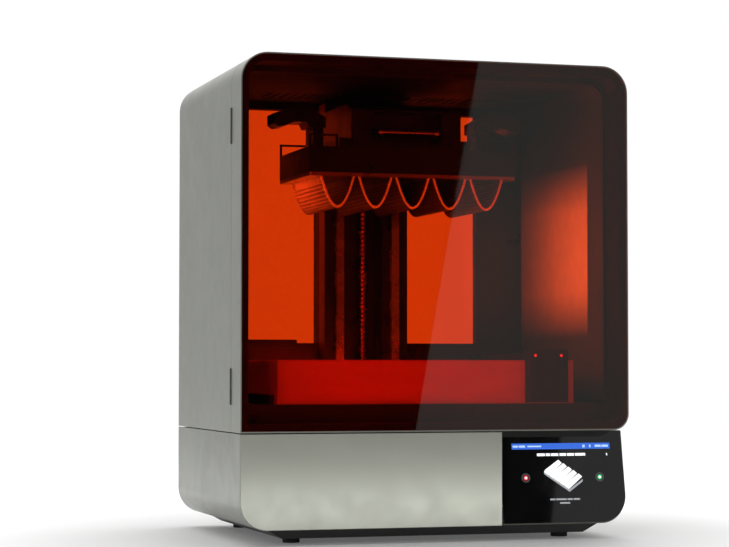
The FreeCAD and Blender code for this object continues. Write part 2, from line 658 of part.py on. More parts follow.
def power_supply():
    """Enclosed mains power supply behind the light unit, on the floor of the base."""
    x1 = SUPPLY_X + SUPPLY_W
    y1 = SUPPLY_Y + SUPPLY_D
    top = FLOOR_Z + SUPPLY_H
    shell = box(SUPPLY_X, x1, SUPPLY_Y, y1, FLOOR_Z, top)
    room = box(SUPPLY_X + 3, x1 - 3, SUPPLY_Y + 3, y1 - 3, FLOOR_Z + 3, top - 3)
    slots = []
    for index in range(9):
        x = SUPPLY_X + 18 + 16 * index
        slots.append(box(x, x + 6, SUPPLY_Y - 1, y1 + 1, top - 22, top - 8))
    inside = [
        box(SUPPLY_X + 3, x1 - 3, SUPPLY_Y + 8, y1 - 8, FLOOR_Z + 3, FLOOR_Z + 9),
        box(SUPPLY_X + 30, SUPPLY_X + 72, SUPPLY_Y + 20, y1 - 20, FLOOR_Z + 8, FLOOR_Z + 42),
        box(SUPPLY_X + 96, SUPPLY_X + 104, SUPPLY_Y + 16, y1 - 16, FLOOR_Z + 8, FLOOR_Z + 34),
        box(SUPPLY_X + 126, SUPPLY_X + 150, SUPPLY_Y + 24, y1 - 24, FLOOR_Z + 8, FLOOR_Z + 30),
    ]
    return union([without(shell, [room] + slots)] + inside)


def mainboard():
    """Control board on stand-offs, with its larger chips and heat sink."""
    x = BOARD_X
    y = BOARD_Y
    z0 = FLOOR_Z + STANDOFF_H
    top = z0 + BOARD_T
    pieces = [box(x, x + BOARD_W, y, y + BOARD_D, z0, top)]
    for px in (x + 6, x + BOARD_W - 6):
        for py in (y + 6, y + BOARD_D - 6):
            pieces.append(rod(px, py, FLOOR_Z, 3, STANDOFF_H + 1))
    pieces += [
        box(x + 60, x + 100, y + 40, y + 80, top, top + 14.4),
        box(x + 10, x + 30, y + 20, y + 40, top, top + 2.4),
        box(x + 115, x + 140, y + 20, y + 50, top, top + 3.4),
        box(x + 10, x + 50, y + 92, y + 108, top, top + 10.4),
    ]
    return union(pieces)


# ---------------------------------------------------------------- enclosure
def hinge_slot(z_mid):
    """Room in a painted edge for one hinge's knuckles and leaf."""
    reach = KNUCKLE_R + 1.2
    return box(-HALF_W - 4, -HALF_W + 6, Y_DOOR - reach, Y_DOOR + reach,
               z_mid - HINGE_ROOM, z_mid + HINGE_ROOM)


def enclosure_wrap():
    """Painted sheet over both sides and the top of the print chamber."""
    body = plate(UPPER, WRAP_FRONT, WRAP_BACK)
    body = body.cut(plate(inset(UPPER, WALL, Z_DOOR - 1), WRAP_FRONT - 1, Y_SHELL))
    return without(body, [hinge_slot(z) for z in HINGE_Z])


def window_cuts(y0, y1):
    """The two rear window openings."""
    return both_sides(WINDOW_X[0], WINDOW_X[1], y0, y1, WINDOW_Z[0], WINDOW_Z[1])


def rear_panel():
    """Painted rear plate of the chamber, open at the windows."""
    body = plate(inset(UPPER, PANEL_INSET), PLATE_FRONT, PLATE_BACK)
    return without(body, window_cuts(PLATE_FRONT - 1, PLATE_BACK + 1))


def rear_window():
    """Right-hand amber pane between the chamber's back wall and the rear plate."""
    y0 = CHAMBER_BACK + LINER_T + FIT
    body = box(WINDOW_X[0] - WINDOW_LAP, WINDOW_X[1] + WINDOW_LAP, y0, y0 + WINDOW_T,
               WINDOW_Z[0] - WINDOW_LAP, WINDOW_Z[1] + WINDOW_LAP)
    return rounded(body, 5, (0, 1, 0))


def chamber_back():
    """Black back wall of the chamber, with the window openings and a ledge."""
    face = inset(LINING, LINER_T, DECK_Z + FIT)
    face["z"] = (face["z"][0], CEILING_Z - FIT)
    body = plate(face, CHAMBER_BACK, CHAMBER_BACK + LINER_T)
    body = without(body, window_cuts(CHAMBER_BACK - 1, CHAMBER_BACK + LINER_T + 1))
    ledge = box(-WINDOW_X[1] + 4, -WINDOW_X[0] - 46, CHAMBER_BACK - 12, CHAMBER_BACK,
                WINDOW_Z[0] - 8, WINDOW_Z[0] + 6)
    return union([body, ledge])


def chamber_liner():
    """Bent sheet over the sides and ceiling of the chamber, with pressed panels and air slots."""
    back = CHAMBER_BACK + LINER_T
    body = plate(LINING, CHAMBER_FRONT, back)
    body = body.cut(plate(inset(LINING, LINER_T, DECK_Z - 1), CHAMBER_FRONT - 1, CHAMBER_BACK - FIT))
    body = body.cut(plate(inset(LINING, LINER_T, DECK_Z - 1), CHAMBER_BACK - 1, back + 1))
    y0 = CHAMBER_FRONT + 64.0
    y1 = CHAMBER_BACK - 8.0
    z0 = DECK_Z + 118.0
    z1 = CEILING_Z - 130.0
    groove = box(LINER_X - 1, LINER_X + 0.8, y0, y1, z0, z1)
    groove = groove.cut(box(LINER_X - 2, LINER_X + 2, y0 + 4, y1 - 4, z0 + 4, z1 - 4))
    cuts = [groove, mirrored(groove)]
    for x in vent_places():
        cuts.append(box(x - VENT_W / 2, x + VENT_W / 2, CHAMBER_BACK - 130, CHAMBER_BACK - 60,
                        CEILING_Z - 1, CEILING_Z + LINER_T + 1))
    return without(body, cuts)


def vent_places():
    """Middle of each air slot in the ceiling."""
    return [(index - (VENT_COUNT - 1) / 2) * VENT_PITCH for index in range(VENT_COUNT)]


def chamber_heater():
    """Finned air heater above the ceiling slots."""
    z0 = CEILING_Z + LINER_T + CONTACT
    half = VENT_COUNT * VENT_PITCH / 2 + 4
    y0 = CHAMBER_BACK - 136
    y1 = CHAMBER_BACK - 54
    gap = VENT_PITCH - VENT_W
    top = z0 + HEATER_H - 3
    channels = [box(x - gap / 2, x + gap / 2, y0 + 4, y1 - 4, z0 - 1, top) for x in vent_places()]
    return without(box(-half, half, y0, y1, z0, z0 + HEATER_H), channels)


def front_frame():
    """Black frame between the painted sheet and the chamber walls, which the door closes on."""
    y0 = WRAP_FRONT + 1
    body = plate(inset(UPPER, WALL + FIT), y0, y0 + 1.6)
    opening = outline(-LINER_X, LINER_X, DECK_Z - 14, CEILING_Z, (20, 20, 0, 0))
    notches = [box(-HALF_W, -HALF_W + 9, y0 - 1, y0 + 3, z - HINGE_ROOM, z + HINGE_ROOM) for z in HINGE_Z]
    return without(body, [plate(opening, y0 - 1, y0 + 3)] + notches)


def chamber_deck():
    """Floor of the chamber with the display window, its front skirt and the tank's guides."""
    body = box(-LINER_X, LINER_X, DECK_FRONT, CHAMBER_BACK + LINER_T, DECK_UNDER, DECK_Z)
    skirt = box(-LINER_X, LINER_X, DECK_FRONT, DECK_FRONT + 3, Z_DOOR + 1, DECK_UNDER)
    window = box(-LCD_X, LCD_X, LCD_Y[0], LCD_Y[1], DECK_UNDER - 1, DECK_Z + 1)
    well = box(-NUT_R, NUT_R, SCREW_Y - NUT_R - 2, SCREW_Y + NUT_R, DECK_UNDER - 1, DECK_Z + 1)
    guides = both_sides(TANK_X + GUIDE_GAP, TANK_X + 9, TANK_FRONT + 20, TANK_BACK - 20,
                        DECK_Z - 1, DECK_Z + 16)
    return union([without(union([body, skirt]), [window, well])] + guides)


def lcd_panel():
    """Masking display in the deck's window, under the tank."""
    return box(-LCD_X + FIT, LCD_X - FIT, LCD_Y[0] + FIT, LCD_Y[1] - FIT, DECK_Z - 3, DECK_Z - 0.6)


def light_unit_housing():
    """Open-topped box that holds the light engine under the deck."""
    x = LIGHT_X - LIGHT_WALL
    y0, y1 = LIGHT_Y
    z0, z1 = LIGHT_Z
    body = box(-LIGHT_X, LIGHT_X, y0, y1, z0, z1)
    return body.cut(box(-x, x, y0 + LIGHT_WALL, y1 - LIGHT_WALL, z0 + LIGHT_WALL, z1 + 1))


def led_board():
    """Backlight board with a grid of emitters."""
    x = LCD_X - 4
    y0 = LCD_Y[0] + 4
    y1 = LCD_Y[1] - 4
    z0 = LIGHT_Z[0] + LIGHT_WALL + CONTACT
    columns = 12
    rows = 6
    pieces = [box(-x, x, y0, y1, z0, z0 + 8)]
    for i in range(columns):
        for j in range(rows):
            px = -x + 20 + i * (2 * x - 40) / (columns - 1)
            py = y0 + 18 + j * (y1 - y0 - 36) / (rows - 1)
            pieces.append(box(px - 4, px + 4, py - 4, py + 4, z0 + 8, z0 + 10))
    return union(pieces)


# ---------------------------------------------------------------- door
def door_frame():
    """Painted box edge of the door: its front rim frames the glass."""
    skin = ring_plate(DOOR, 0, DOOR_SKIN, Y_FRONT, DOOR_BACK)
    lip = ring_plate(DOOR, DOOR_SKIN - 0.5, 6, GLASS_BACK + CONTACT, GLASS_BACK + 2)
    grip = box(HALF_W - DOOR_SKIN - 1, HALF_W + 1, HANDLE_Y[0] - FIT, HANDLE_Y[1] + FIT,
               HANDLE_Z[0] - FIT, HANDLE_Z[1] + FIT)
    return without(union([skin, lip]), [hinge_slot(z) for z in HINGE_Z] + [grip])


def door_glass():
    """Amber safety glass, set into the painted rim."""
    return plate(inset(DOOR, DOOR_SKIN + FIT), Y_FRONT + FIT, GLASS_BACK)


def door_inner_frame():
    """Black inner tray of the door: carrier of the seal."""
    y0 = GLASS_BACK + 2 + CONTACT
    y1 = DOOR_BACK - 1.4
    edge = DOOR_SKIN + FIT
    body = union([
        ring_plate(DOOR, edge, DOOR_BORDER, y0, y0 + DOOR_TRAY_T),
        ring_plate(DOOR, DOOR_BORDER - DOOR_TRAY_T, DOOR_BORDER, y0, y1),
        ring_plate(DOOR, edge, DOOR_BORDER, y1 - 2, y1),
    ])
    notches = [box(-HALF_W, -HALF_W + 6, y0 + 4, Y_DOOR, z - HINGE_ROOM, z + HINGE_ROOM) for z in HINGE_Z]
    return without(body, notches)


def door_seal():
    """Rubber gasket that meets the chamber's front frame."""
    return ring_plate(DOOR, DOOR_BORDER / 2, DOOR_BORDER - 2, DOOR_BACK - 1.4 + CONTACT, WRAP_FRONT + 1 - FIT)


def door_handle():
    """Black grip strip along the free edge of the door."""
    outside = HALF_W + HANDLE_OUT
    body = box(HALF_W - DOOR_SKIN - 1.4, outside, HANDLE_Y[0], HANDLE_Y[1], HANDLE_Z[0], HANDLE_Z[1])
    outer = [e for e in body.Edges if e.BoundBox.XMin > outside - 0.01]
    body = body.makeFillet(1.5, outer)
    groove = box(outside - 0.8, outside + 1, HANDLE_Y[0] + 12, HANDLE_Y[1] - 12,
                 HANDLE_Z[0] + 8, HANDLE_Z[1] - 8)
    return body.cut(groove)


def hinge_leaves(side, z_low, z_high, skin):
    """One half of both hinges: knuckle, web and leaf; side is -1 for the door, 1 for the enclosure."""
    leaves = []
    x0 = -HALF_W + skin + FIT
    leaf = sorted((Y_DOOR + side * 0.7, Y_DOOR + side * LEAF_REACH))
    web = sorted((Y_DOOR + side * 0.7, Y_DOOR + side * KNUCKLE_R))
    for z in HINGE_Z:
        z0 = z + z_low
        z1 = z + z_high
        shape = union([
            rod(-HALF_W, Y_DOOR, z0, KNUCKLE_R, z1 - z0),
            box(-HALF_W + 0.4, x0 + LEAF_T, web[0], web[1], z0, z1),
            box(x0, x0 + LEAF_T, leaf[0], leaf[1], z0, z1),
        ])
        leaves.append(shape.cut(rod(-HALF_W, Y_DOOR, z0 - 1, PIN_R + PIN_FIT, z1 - z0 + 2)))
    return Part.makeCompound(leaves)


def hinge_pins():
    """Steel pins of both hinges."""
    half = HINGE_LEN / 2
    return Part.makeCompound([rod(-HALF_W, Y_DOOR, z - half, PIN_R, HINGE_LEN) for z in HINGE_Z])


# ---------------------------------------------------------------- vertical axis
def z_tower():
    """Column of two box sections joined by a back web."""
    z0 = DECK_Z + CONTACT
    pieces = [box(-CHANNEL_X, CHANNEL_X, TOWER_BACK - TOWER_WALL, TOWER_BACK, z0, TOWER_TOP)]
    posts = both_sides(CHANNEL_X, TOWER_X, TOWER_Y, TOWER_BACK, z0, TOWER_TOP)
    cores = both_sides(CHANNEL_X + TOWER_WALL, TOWER_X - TOWER_WALL, TOWER_Y + TOWER_WALL,
                       TOWER_BACK - TOWER_WALL, z0 - 1, TOWER_TOP + 1)
    for post, core in zip(posts, cores):
        pieces.append(post.cut(core))
    return union(pieces)


def rail_screw_heights():
    """Heights of the rail screws."""
    first = RAIL_Z[0] + 20
    count = int((RAIL_Z[1] - first - 10) // RAIL_PITCH) + 1
    return [first + RAIL_PITCH * index for index in range(count)]


def z_rail():
    """Right-hand profile rail with ball grooves and screw pockets."""
    x0 = RAIL_X - RAIL_W / 2
    x1 = RAIL_X + RAIL_W / 2
    body = box(x0, x1, RAIL_Y, RAIL_Y + RAIL_D, RAIL_Z[0], RAIL_Z[1])
    cuts = [box(x - 1.2, x + 1.2, RAIL_Y + 3.5, RAIL_Y + 7, RAIL_Z[0] - 1, RAIL_Z[1] + 1) for x in (x0, x1)]
    cuts += [rod(RAIL_X, RAIL_Y - 1, z, 4.6, 7, (0, 1, 0)) for z in rail_screw_heights()]
    return without(body, cuts)


def rail_screws():
    """Socket screws sunk into both rails."""
    heads = []
    for z in rail_screw_heights():
        head = rod(RAIL_X, RAIL_Y + 1.5, z, 4.2, 4, (0, 1, 0))
        head = head.cut(rod(RAIL_X, RAIL_Y + 1, z, 2, 2.5, (0, 1, 0)))
        heads += [head, mirrored(head)]
    return Part.makeCompound(heads)


def screw_bearing(z0):
    """Bearing block of the lead screw, between the column's halves."""
    half = CHANNEL_X - CONTACT
    body = box(-half, half, TOWER_Y + 2, TOWER_BACK - TOWER_WALL - CONTACT, z0, z0 + BEARING_H)
    return body.cut(rod(0, SCREW_Y, z0 - 1, SCREW_R + SCREW_FIT, BEARING_H + 2))


def lead_screw():
    """Lead screw, whose thread lies within this outer diameter, and its clamping coupler."""
    body = rod(0, SCREW_Y, SCREW_FOOT, SCREW_R, TOWER_TOP - SCREW_FOOT)
    ends = [e for e in body.Edges if abs(e.BoundBox.ZLength) < 1e-6]
    coupler = rod(0, SCREW_Y, COUPLER_Z, SCREW_R + COUPLER_WALL, 28)
    coupler = coupler.cut(rod(0, SCREW_Y, COUPLER_Z - 1, SHAFT_R + CONTACT, SCREW_FOOT - COUPLER_Z + 1.5))
    coupler = coupler.cut(rod(0, SCREW_Y, SCREW_FOOT - CONTACT, SCREW_R + CONTACT, 20))
    return Part.makeCompound([body.makeChamfer(1.0, ends), coupler])


def z_motor():
    """Stepper motor of the vertical axis, in the bracket that hangs it under the deck."""
    half = MOTOR_W / 2
    y0 = SCREW_Y - half
    y1 = SCREW_Y + half
    body = rounded(box(-half, half, y0, y1, MOTOR_Z - MOTOR_H, MOTOR_Z), 6, (0, 0, 1))
    shaft = rod(0, SCREW_Y, MOTOR_Z, SHAFT_R, SCREW_FOOT - 2 - MOTOR_Z)
    wide = half + BRACKET_T
    flange = box(-wide, wide, y0, y1, MOTOR_Z, MOTOR_Z + 4)
    arms = both_sides(half + 1, wide, y0, y1, MOTOR_Z, DECK_UNDER - CONTACT)
    return union([body, shaft, flange] + arms)


def bearing_blocks():
    """Four recirculating ball blocks on the rails."""
    blocks = []
    bore = RAIL_W / 2 + RUN
    for z in BLOCK_Z:
        z0 = z - BLOCK_HALF_H
        z1 = z + BLOCK_HALF_H
        body = box(RAIL_X - BLOCK_HALF_W, RAIL_X + BLOCK_HALF_W, BLOCK_FRONT, RAIL_Y + RAIL_D - 3, z0, z1)
        room = box(RAIL_X - bore, RAIL_X + bore, RAIL_Y - RUN, RAIL_Y + RAIL_D, z0 - 1, z1 + 1)
        block = rounded(body, 1.5, (0, 0, 1)).cut(room)
        blocks += [block, mirrored(block)]
    return Part.makeCompound(blocks)


def carriage_plate():
    """Machined plate across the four blocks."""
    half = RAIL_X + BLOCK_HALF_W + 4
    body = box(-half, half, CARRIAGE_FRONT, CARRIAGE_BACK, PLATFORM_Z[0], PLATFORM_Z[1] + 77)
    body = rounded(body, 8, (0, 1, 0))
    holes = []
    for x in (-RAIL_X, RAIL_X):
        for z in BLOCK_Z:
            for dx, dz in ((-13, -13), (-13, 13), (13, -13), (13, 13)):
                holes.append(rod(x + dx, CARRIAGE_FRONT - 1, z + dz, 4, 5, (0, 1, 0)))
    return without(body, holes)


def screw_nut():
    """Bronze nut on the lead screw with its bracket to the carriage plate."""
    z0 = PLATFORM_Z[1] + 1
    arm = box(-NUT_R, NUT_R, CARRIAGE_BACK + CONTACT, SCREW_Y, z0 + 4, z0 + 28)
    body = union([rod(0, SCREW_Y, z0, NUT_R, 34), arm])
    return body.cut(rod(0, SCREW_Y, z0 - 1, SCREW_R + RUN, 36))


def carrier_head():
    """Hollow cantilever arm in front of the carriage plate, with the release handle's cross pin."""
    low, high = HEAD_Z
    side = [(HEAD_FRONT, low), (HEAD_BACK, low), (HEAD_BACK, high), (HEAD_FRONT + 34, high),
            (HEAD_FRONT, high - 12)]
    body = prism_x(side, -HEAD_X, HEAD_X)
    lever_half = HEAD_X - 36
    cuts = [box(-lever_half, lever_half, HEAD_FRONT - 1, HEAD_FRONT + 34, low + 12.7, RECESS_TOP)]
    cells = 3
    pitch = (HEAD_W - 34) / cells
    for index in range(cells):
        x0 = -HEAD_X + 20 + index * pitch
        cuts.append(box(x0, x0 + pitch - HEAD_RIB, HEAD_FRONT + 48, HEAD_BACK - 12, low - 1, low + 34))
    steps = both_sides(HEAD_X - 1, HEAD_X + STEP_OUT, HEAD_FRONT + 6, HEAD_BACK - 58.2, low + 0.7, low + 20)
    pin_half = lever_half + 2
    pin = rod(-pin_half, LEVER_Y, LEVER_Z, LEVER_PIN_R, 2 * pin_half, (1, 0, 0))
    return union([without(body, cuts), pin] + steps)


def clamp_lever():
    """Release handle at the front: a bar with knobs between two arms on a cross pin."""
    half = HEAD_X - 44
    knob = 8.0
    pieces = [rod(-half + 4, BAR_Y, BAR_Z, LEVER_BAR_R, 2 * half - 8, (1, 0, 0))]
    for x in (-half, half - knob):
        pieces += [
            rod(x, BAR_Y, BAR_Z, LEVER_BAR_R + KNOB_RIM, knob, (1, 0, 0)),
            box(x + 1, x + knob - 1, BAR_Y, LEVER_Y, BAR_Z - 5, BAR_Z + 6),
            rod(x + 1, LEVER_Y, LEVER_Z, LEVER_PIN_R + 5, knob - 2, (1, 0, 0)),
        ]
    bore = rod(-half - 1, LEVER_Y, LEVER_Z, LEVER_PIN_R + PIN_FIT, 2 * half + 2, (1, 0, 0))
    return union(pieces).cut(bore)


# ---------------------------------------------------------------- build platform and prints
def build_platform():
    """Hollow cast platform with ribs inside and a square loop over each corner."""
    z0 = PLATFORM_Z[0] + FACE_T + CONTACT
    z1 = PLATFORM_Z[1]
    body = box(-PLATFORM_X, PLATFORM_X, PLATFORM_FRONT, PLATFORM_BACK, z0, z1)
    count = 4
    pitch = (PLATFORM_W - PLATFORM_WALL) / count
    cells = []
    for index in range(count):
        x0 = -PLATFORM_X + PLATFORM_WALL + index * pitch
        cells.append(box(x0, x0 + pitch - PLATFORM_WALL, PLATFORM_FRONT + PLATFORM_WALL,
                         PLATFORM_BACK - PLATFORM_WALL, z0 - 1, z1 - 5))
    loops = []
    for y in (PLATFORM_FRONT, PLATFORM_BACK - LOOP_T):
        outer = box(PLATFORM_X - LOOP_W, PLATFORM_X, y, y + LOOP_T, z1 - 1, z1 + LOOP_H)
        window = box(PLATFORM_X - LOOP_W + LOOP_T, PLATFORM_X - LOOP_T, y - 1, y + LOOP_T + 1,
                     z1, z1 + LOOP_H - LOOP_T)
        loop = outer.cut(window)
        loops += [loop, mirrored(loop)]
    return union([without(body, cells)] + loops)


def build_face():
    """Replaceable build plate under the platform."""
    z0 = PLATFORM_Z[0]
    return rounded(box(-PLATFORM_X, PLATFORM_X, PLATFORM_FRONT, PLATFORM_BACK, z0, z0 + FACE_T), 3, (0, 0, 1))


def platform_lug():
    """Right-hand lifting wing with its bracket on the platform."""
    z1 = PLATFORM_Z[1]
    z0 = z1 + CONTACT
    y0 = PLATFORM_FRONT + 71.2
    y1 = y0 + 52
    edge = PLATFORM_X
    wing = [(-48.8, 57), (-24.8, 71), (13.2, 71), (41.2, 62), (41.2, 45), (33.2, 39),
            (21.2, 41), (7.2, 48), (-14.8, 48), (-19.8, 39), (-48.8, 39)]
    bracket = [(edge - 44.8, z1 + 41), (edge - 44.8, z0), (edge - 18.8, z0), (edge - 18.8, z0 + 5),
               (edge - 26.8, z0 + 12), (edge - 26.8, z1 + 41)]
    return union([
        prism_y([(edge + dx, z1 + dz) for dx, dz in wing], y0, y1),
        prism_y(bracket, y0 + 2, y1 - 2),
        box(edge - 57.8, edge - 30, y0 + 10, y1 - 10, z0, z0 + 6),
    ])


def printed_models():
    """Deep trough-shaped prints hanging side by side under the build plate."""
    shapes = []
    top = PLATFORM_Z[0] - CONTACT
    for index in range(PRINT_COUNT):
        x = (index - (PRINT_COUNT - 1) / 2) * PRINT_PITCH
        outer = trough_core(x, PRINT_R, PRINT_DROP, top, PRINT_Y[0], PRINT_Y[1])
        inner = trough_core(x, PRINT_R - PRINT_WALL, PRINT_DROP - PRINT_WALL, top,
                            PRINT_Y[0] - 1, PRINT_Y[1] + 1)
        shapes.append(outer.cut(inner))
    return Part.makeCompound(shapes)


def trough_core(x, half, drop, top, y0, y1):
    """Solid trough with a parabolic section, drawn out along Y."""
    steps = 12
    points = []
    for step in range(steps + 1):
        across = 2 * step / steps - 1
        points.append(Vector(x + half * across, y0, top - drop * (1 - across * across)))
    curve = Part.BSplineCurve()
    curve.interpolate(points)
    lid = Part.LineSegment(points[-1], points[0])
    return Part.Face(Part.Wire([curve.toShape(), lid.toShape()])).extrude(Vector(0, y1 - y0, 0))


# ---------------------------------------------------------------- tank and mixer
def tank_frame():
    """Amber resin tank: open above, with a film opening in its floor."""
    body = rounded(box(-TANK_X, TANK_X, TANK_FRONT, TANK_BACK, TANK_Z, TANK_TOP), 4, (0, 0, 1))
    room = box(-TANK_X + TANK_WALL, TANK_X - TANK_WALL, TANK_FRONT + TANK_WALL, TANK_BACK - TANK_WALL,
               FILM_Z, TANK_TOP + 1)
    film_room = box(-FILM_X + 14, FILM_X - 14, FILM_Y[0] + 16, FILM_Y[1] - 12, TANK_Z - 1, FILM_Z + 1)
    groove = box(-TANK_X - 1, TANK_X + 1, TANK_FRONT - 1, TANK_FRONT + 0.8, DECK_Z + 14.4, DECK_Z + 15.6)
    mark_x = -TANK_X + 19.2
    mark_z = DECK_Z + 40
    mark = box(mark_x, mark_x + 44, TANK_FRONT - 1, TANK_FRONT + 0.6, mark_z, mark_z + 20)
    mark = mark.cut(box(mark_x + 1.2, mark_x + 42.8, TANK_FRONT - 2, TANK_FRONT + 2,
                        mark_z + 1.2, mark_z + 18.8))
    return without(body, [rounded(room, 14, (0, 0, 1)), film_room, groove, mark])


def tank_film():
    """Clear film with its stiffening edge, bonded into the tank's floor."""
    y0, y1 = FILM_Y
    z0 = FILM_Z + CONTACT
    film = box(-FILM_X, FILM_X, y0, y1, z0, z0 + 0.5)
    edge = box(-FILM_X, FILM_X, y0, y1, z0, z0 + 3)
    edge = edge.cut(box(-FILM_X + 10, FILM_X - 10, y0 + 10, y1 - 10, z0 - 1, z0 + 4))
    return union([film, edge])


def mixer_arm():
    """Mixer carrier: front column, bridge over the tank's front wall and rear slide."""
    x0, x1 = MIXER_X
    y0 = TANK_FRONT - 18
    top = MIXER_TOP
    column = rounded(box(x0, x1, y0, TANK_FRONT - RUN, DECK_Z + 2, top), 6, (0, 0, 1))
    column = column.cut(box(x0 + 8, x1 - 8, y0 - 1, y0 + 2, DECK_Z + 12, top - 22))
    return union([
        column,
        box(x0 + 6, x1 - 6, TANK_FRONT - 10, TANK_FRONT + 30, TANK_TOP + RUN, top - 4),
        box(x0 + 28, x1 - 28, TANK_FRONT + 20, TANK_BACK + 8, TANK_TOP + 4, top - 6),
        box(x0 + 14, x1 - 14, TANK_BACK + RUN, TANK_BACK + 8, TANK_TOP - 14, top - 6),
    ])


def mixer_blade():
    """Soft wiper under the mixer's spine, down to just above the film."""
    x = (MIXER_X[0] + MIXER_X[1]) / 2
    y0 = TANK_FRONT + 34
    y1 = TANK_BACK - 24
    knee = FILM_Z + 12
    tip = FILM_Z + 4
    body = box(x - 4, x + 4, y0, y1, knee, TANK_TOP + 4 - CONTACT)
    return union([body, prism_y([(x - 4, knee), (x + 4, knee), (x + 1, tip), (x - 1, tip)], y0, y1)])


# ---------------------------------------------------------------- rear service housing
def rear_housing():
    """Housing on the back with two open-topped cartridge pockets, and the upright cover above it."""
    z0, z1 = HOUSING_Z
    body = rounded(box(-HOUSING_X, HOUSING_X, HOUSING_FRONT, Y_BACK, z0, z1), 6, (1, 0, 0))
    half_w = CARTRIDGE_W / 2 + POCKET_GAP
    half_d = CARTRIDGE_D / 2 + POCKET_GAP
    cuts = [box(-COVER_X, COVER_X, HOUSING_FRONT - 1, Y_BACK - COVER_T, z0 + 4, z1 + 1)]
    for x in (-CARTRIDGE_X, CARTRIDGE_X):
        pocket = box(x - half_w, x + half_w, POCKET_Y - half_d, POCKET_Y + half_d, POCKET_FLOOR, z1 + 1)
        cuts.append(rounded(pocket, 5, (0, 0, 1)))
    return union([without(body, cuts), rear_cover()])


def rear_cover():
    """Upright cover over the wiring and the air filter, with outlet slots."""
    z0 = HOUSING_Z[1]
    body = box(-COVER_X, COVER_X, HOUSING_FRONT, Y_BACK, z0, COVER_TOP)
    upright = [e for e in body.Edges if e.BoundBox.ZLength > 100 and e.BoundBox.YMin > Y_BACK - 1]
    body = body.makeFillet(10, upright)
    cuts = [box(-COVER_X + COVER_T, COVER_X - COVER_T, HOUSING_FRONT - 1, Y_BACK - COVER_T,
                z0 - 1, COVER_TOP - COVER_T)]
    for index in range(12):
        z = COVER_TOP - 168 + index * 11
        cuts.append(box(-COVER_X + 12, COVER_X - 12, Y_BACK - COVER_T - 2, Y_BACK + 1, z, z + 4))
    return without(body, cuts)


def cartridge(x):
    """Resin cartridge with a grip rib and a valve cap on top."""
    z0 = POCKET_FLOOR + CONTACT
    z1 = z0 + CARTRIDGE_H
    half_w = CARTRIDGE_W / 2
    half_d = CARTRIDGE_D / 2
    body = rounded(box(x - half_w, x + half_w, POCKET_Y - half_d, POCKET_Y + half_d, z0, z1), 5, (0, 0, 1))
    grip = box(x - 60, x + 60, POCKET_Y - 9, POCKET_Y + 9, z1 - 1, z1 + 22)
    grip = grip.cut(box(x - 42, x + 42, POCKET_Y - 10, POCKET_Y + 10, z1 + 1, z1 + 13))
    cap = rod(x + half_w - 22, POCKET_Y, z1 - 1, 12, 10)
    return union([body, grip, cap])


def rear_screws():
    """Button-head screws round the rear plates."""
    side = HALF_W - 22
    low = Z_DOOR + 22
    high = Z_TOP - 55
    places = [(x, low + (high - low) * step / 3) for x in (-side, side) for step in range(4)]
    places += [(x, Z_TOP - 19) for x in (-HALF_W + 47, -COVER_X - 80, COVER_X + 80, HALF_W - 47)]
    places += [(x, z) for x in (-side, side) for z in (Z_SHELL + 76, Z_BASE - 17)]
    places += [(x, Z_SHELL + 12) for x in (-COVER_X - 80, 0, COVER_X + 80)]
    heads = []
    for x, z in places:
        head = rod(x, Y_SHELL, z, SCREW_HEAD_R, SCREW_HEAD_H, (0, 1, 0))
        outside = [e for e in head.Edges if e.BoundBox.YMin > Y_SHELL + SCREW_HEAD_H - 0.1]
        head = head.makeFillet(1.2, outside)
        heads.append(head.cut(rod(x, Y_SHELL + 1, z, 1.3, 2, (0, 1, 0))))
    return Part.makeCompound(heads)


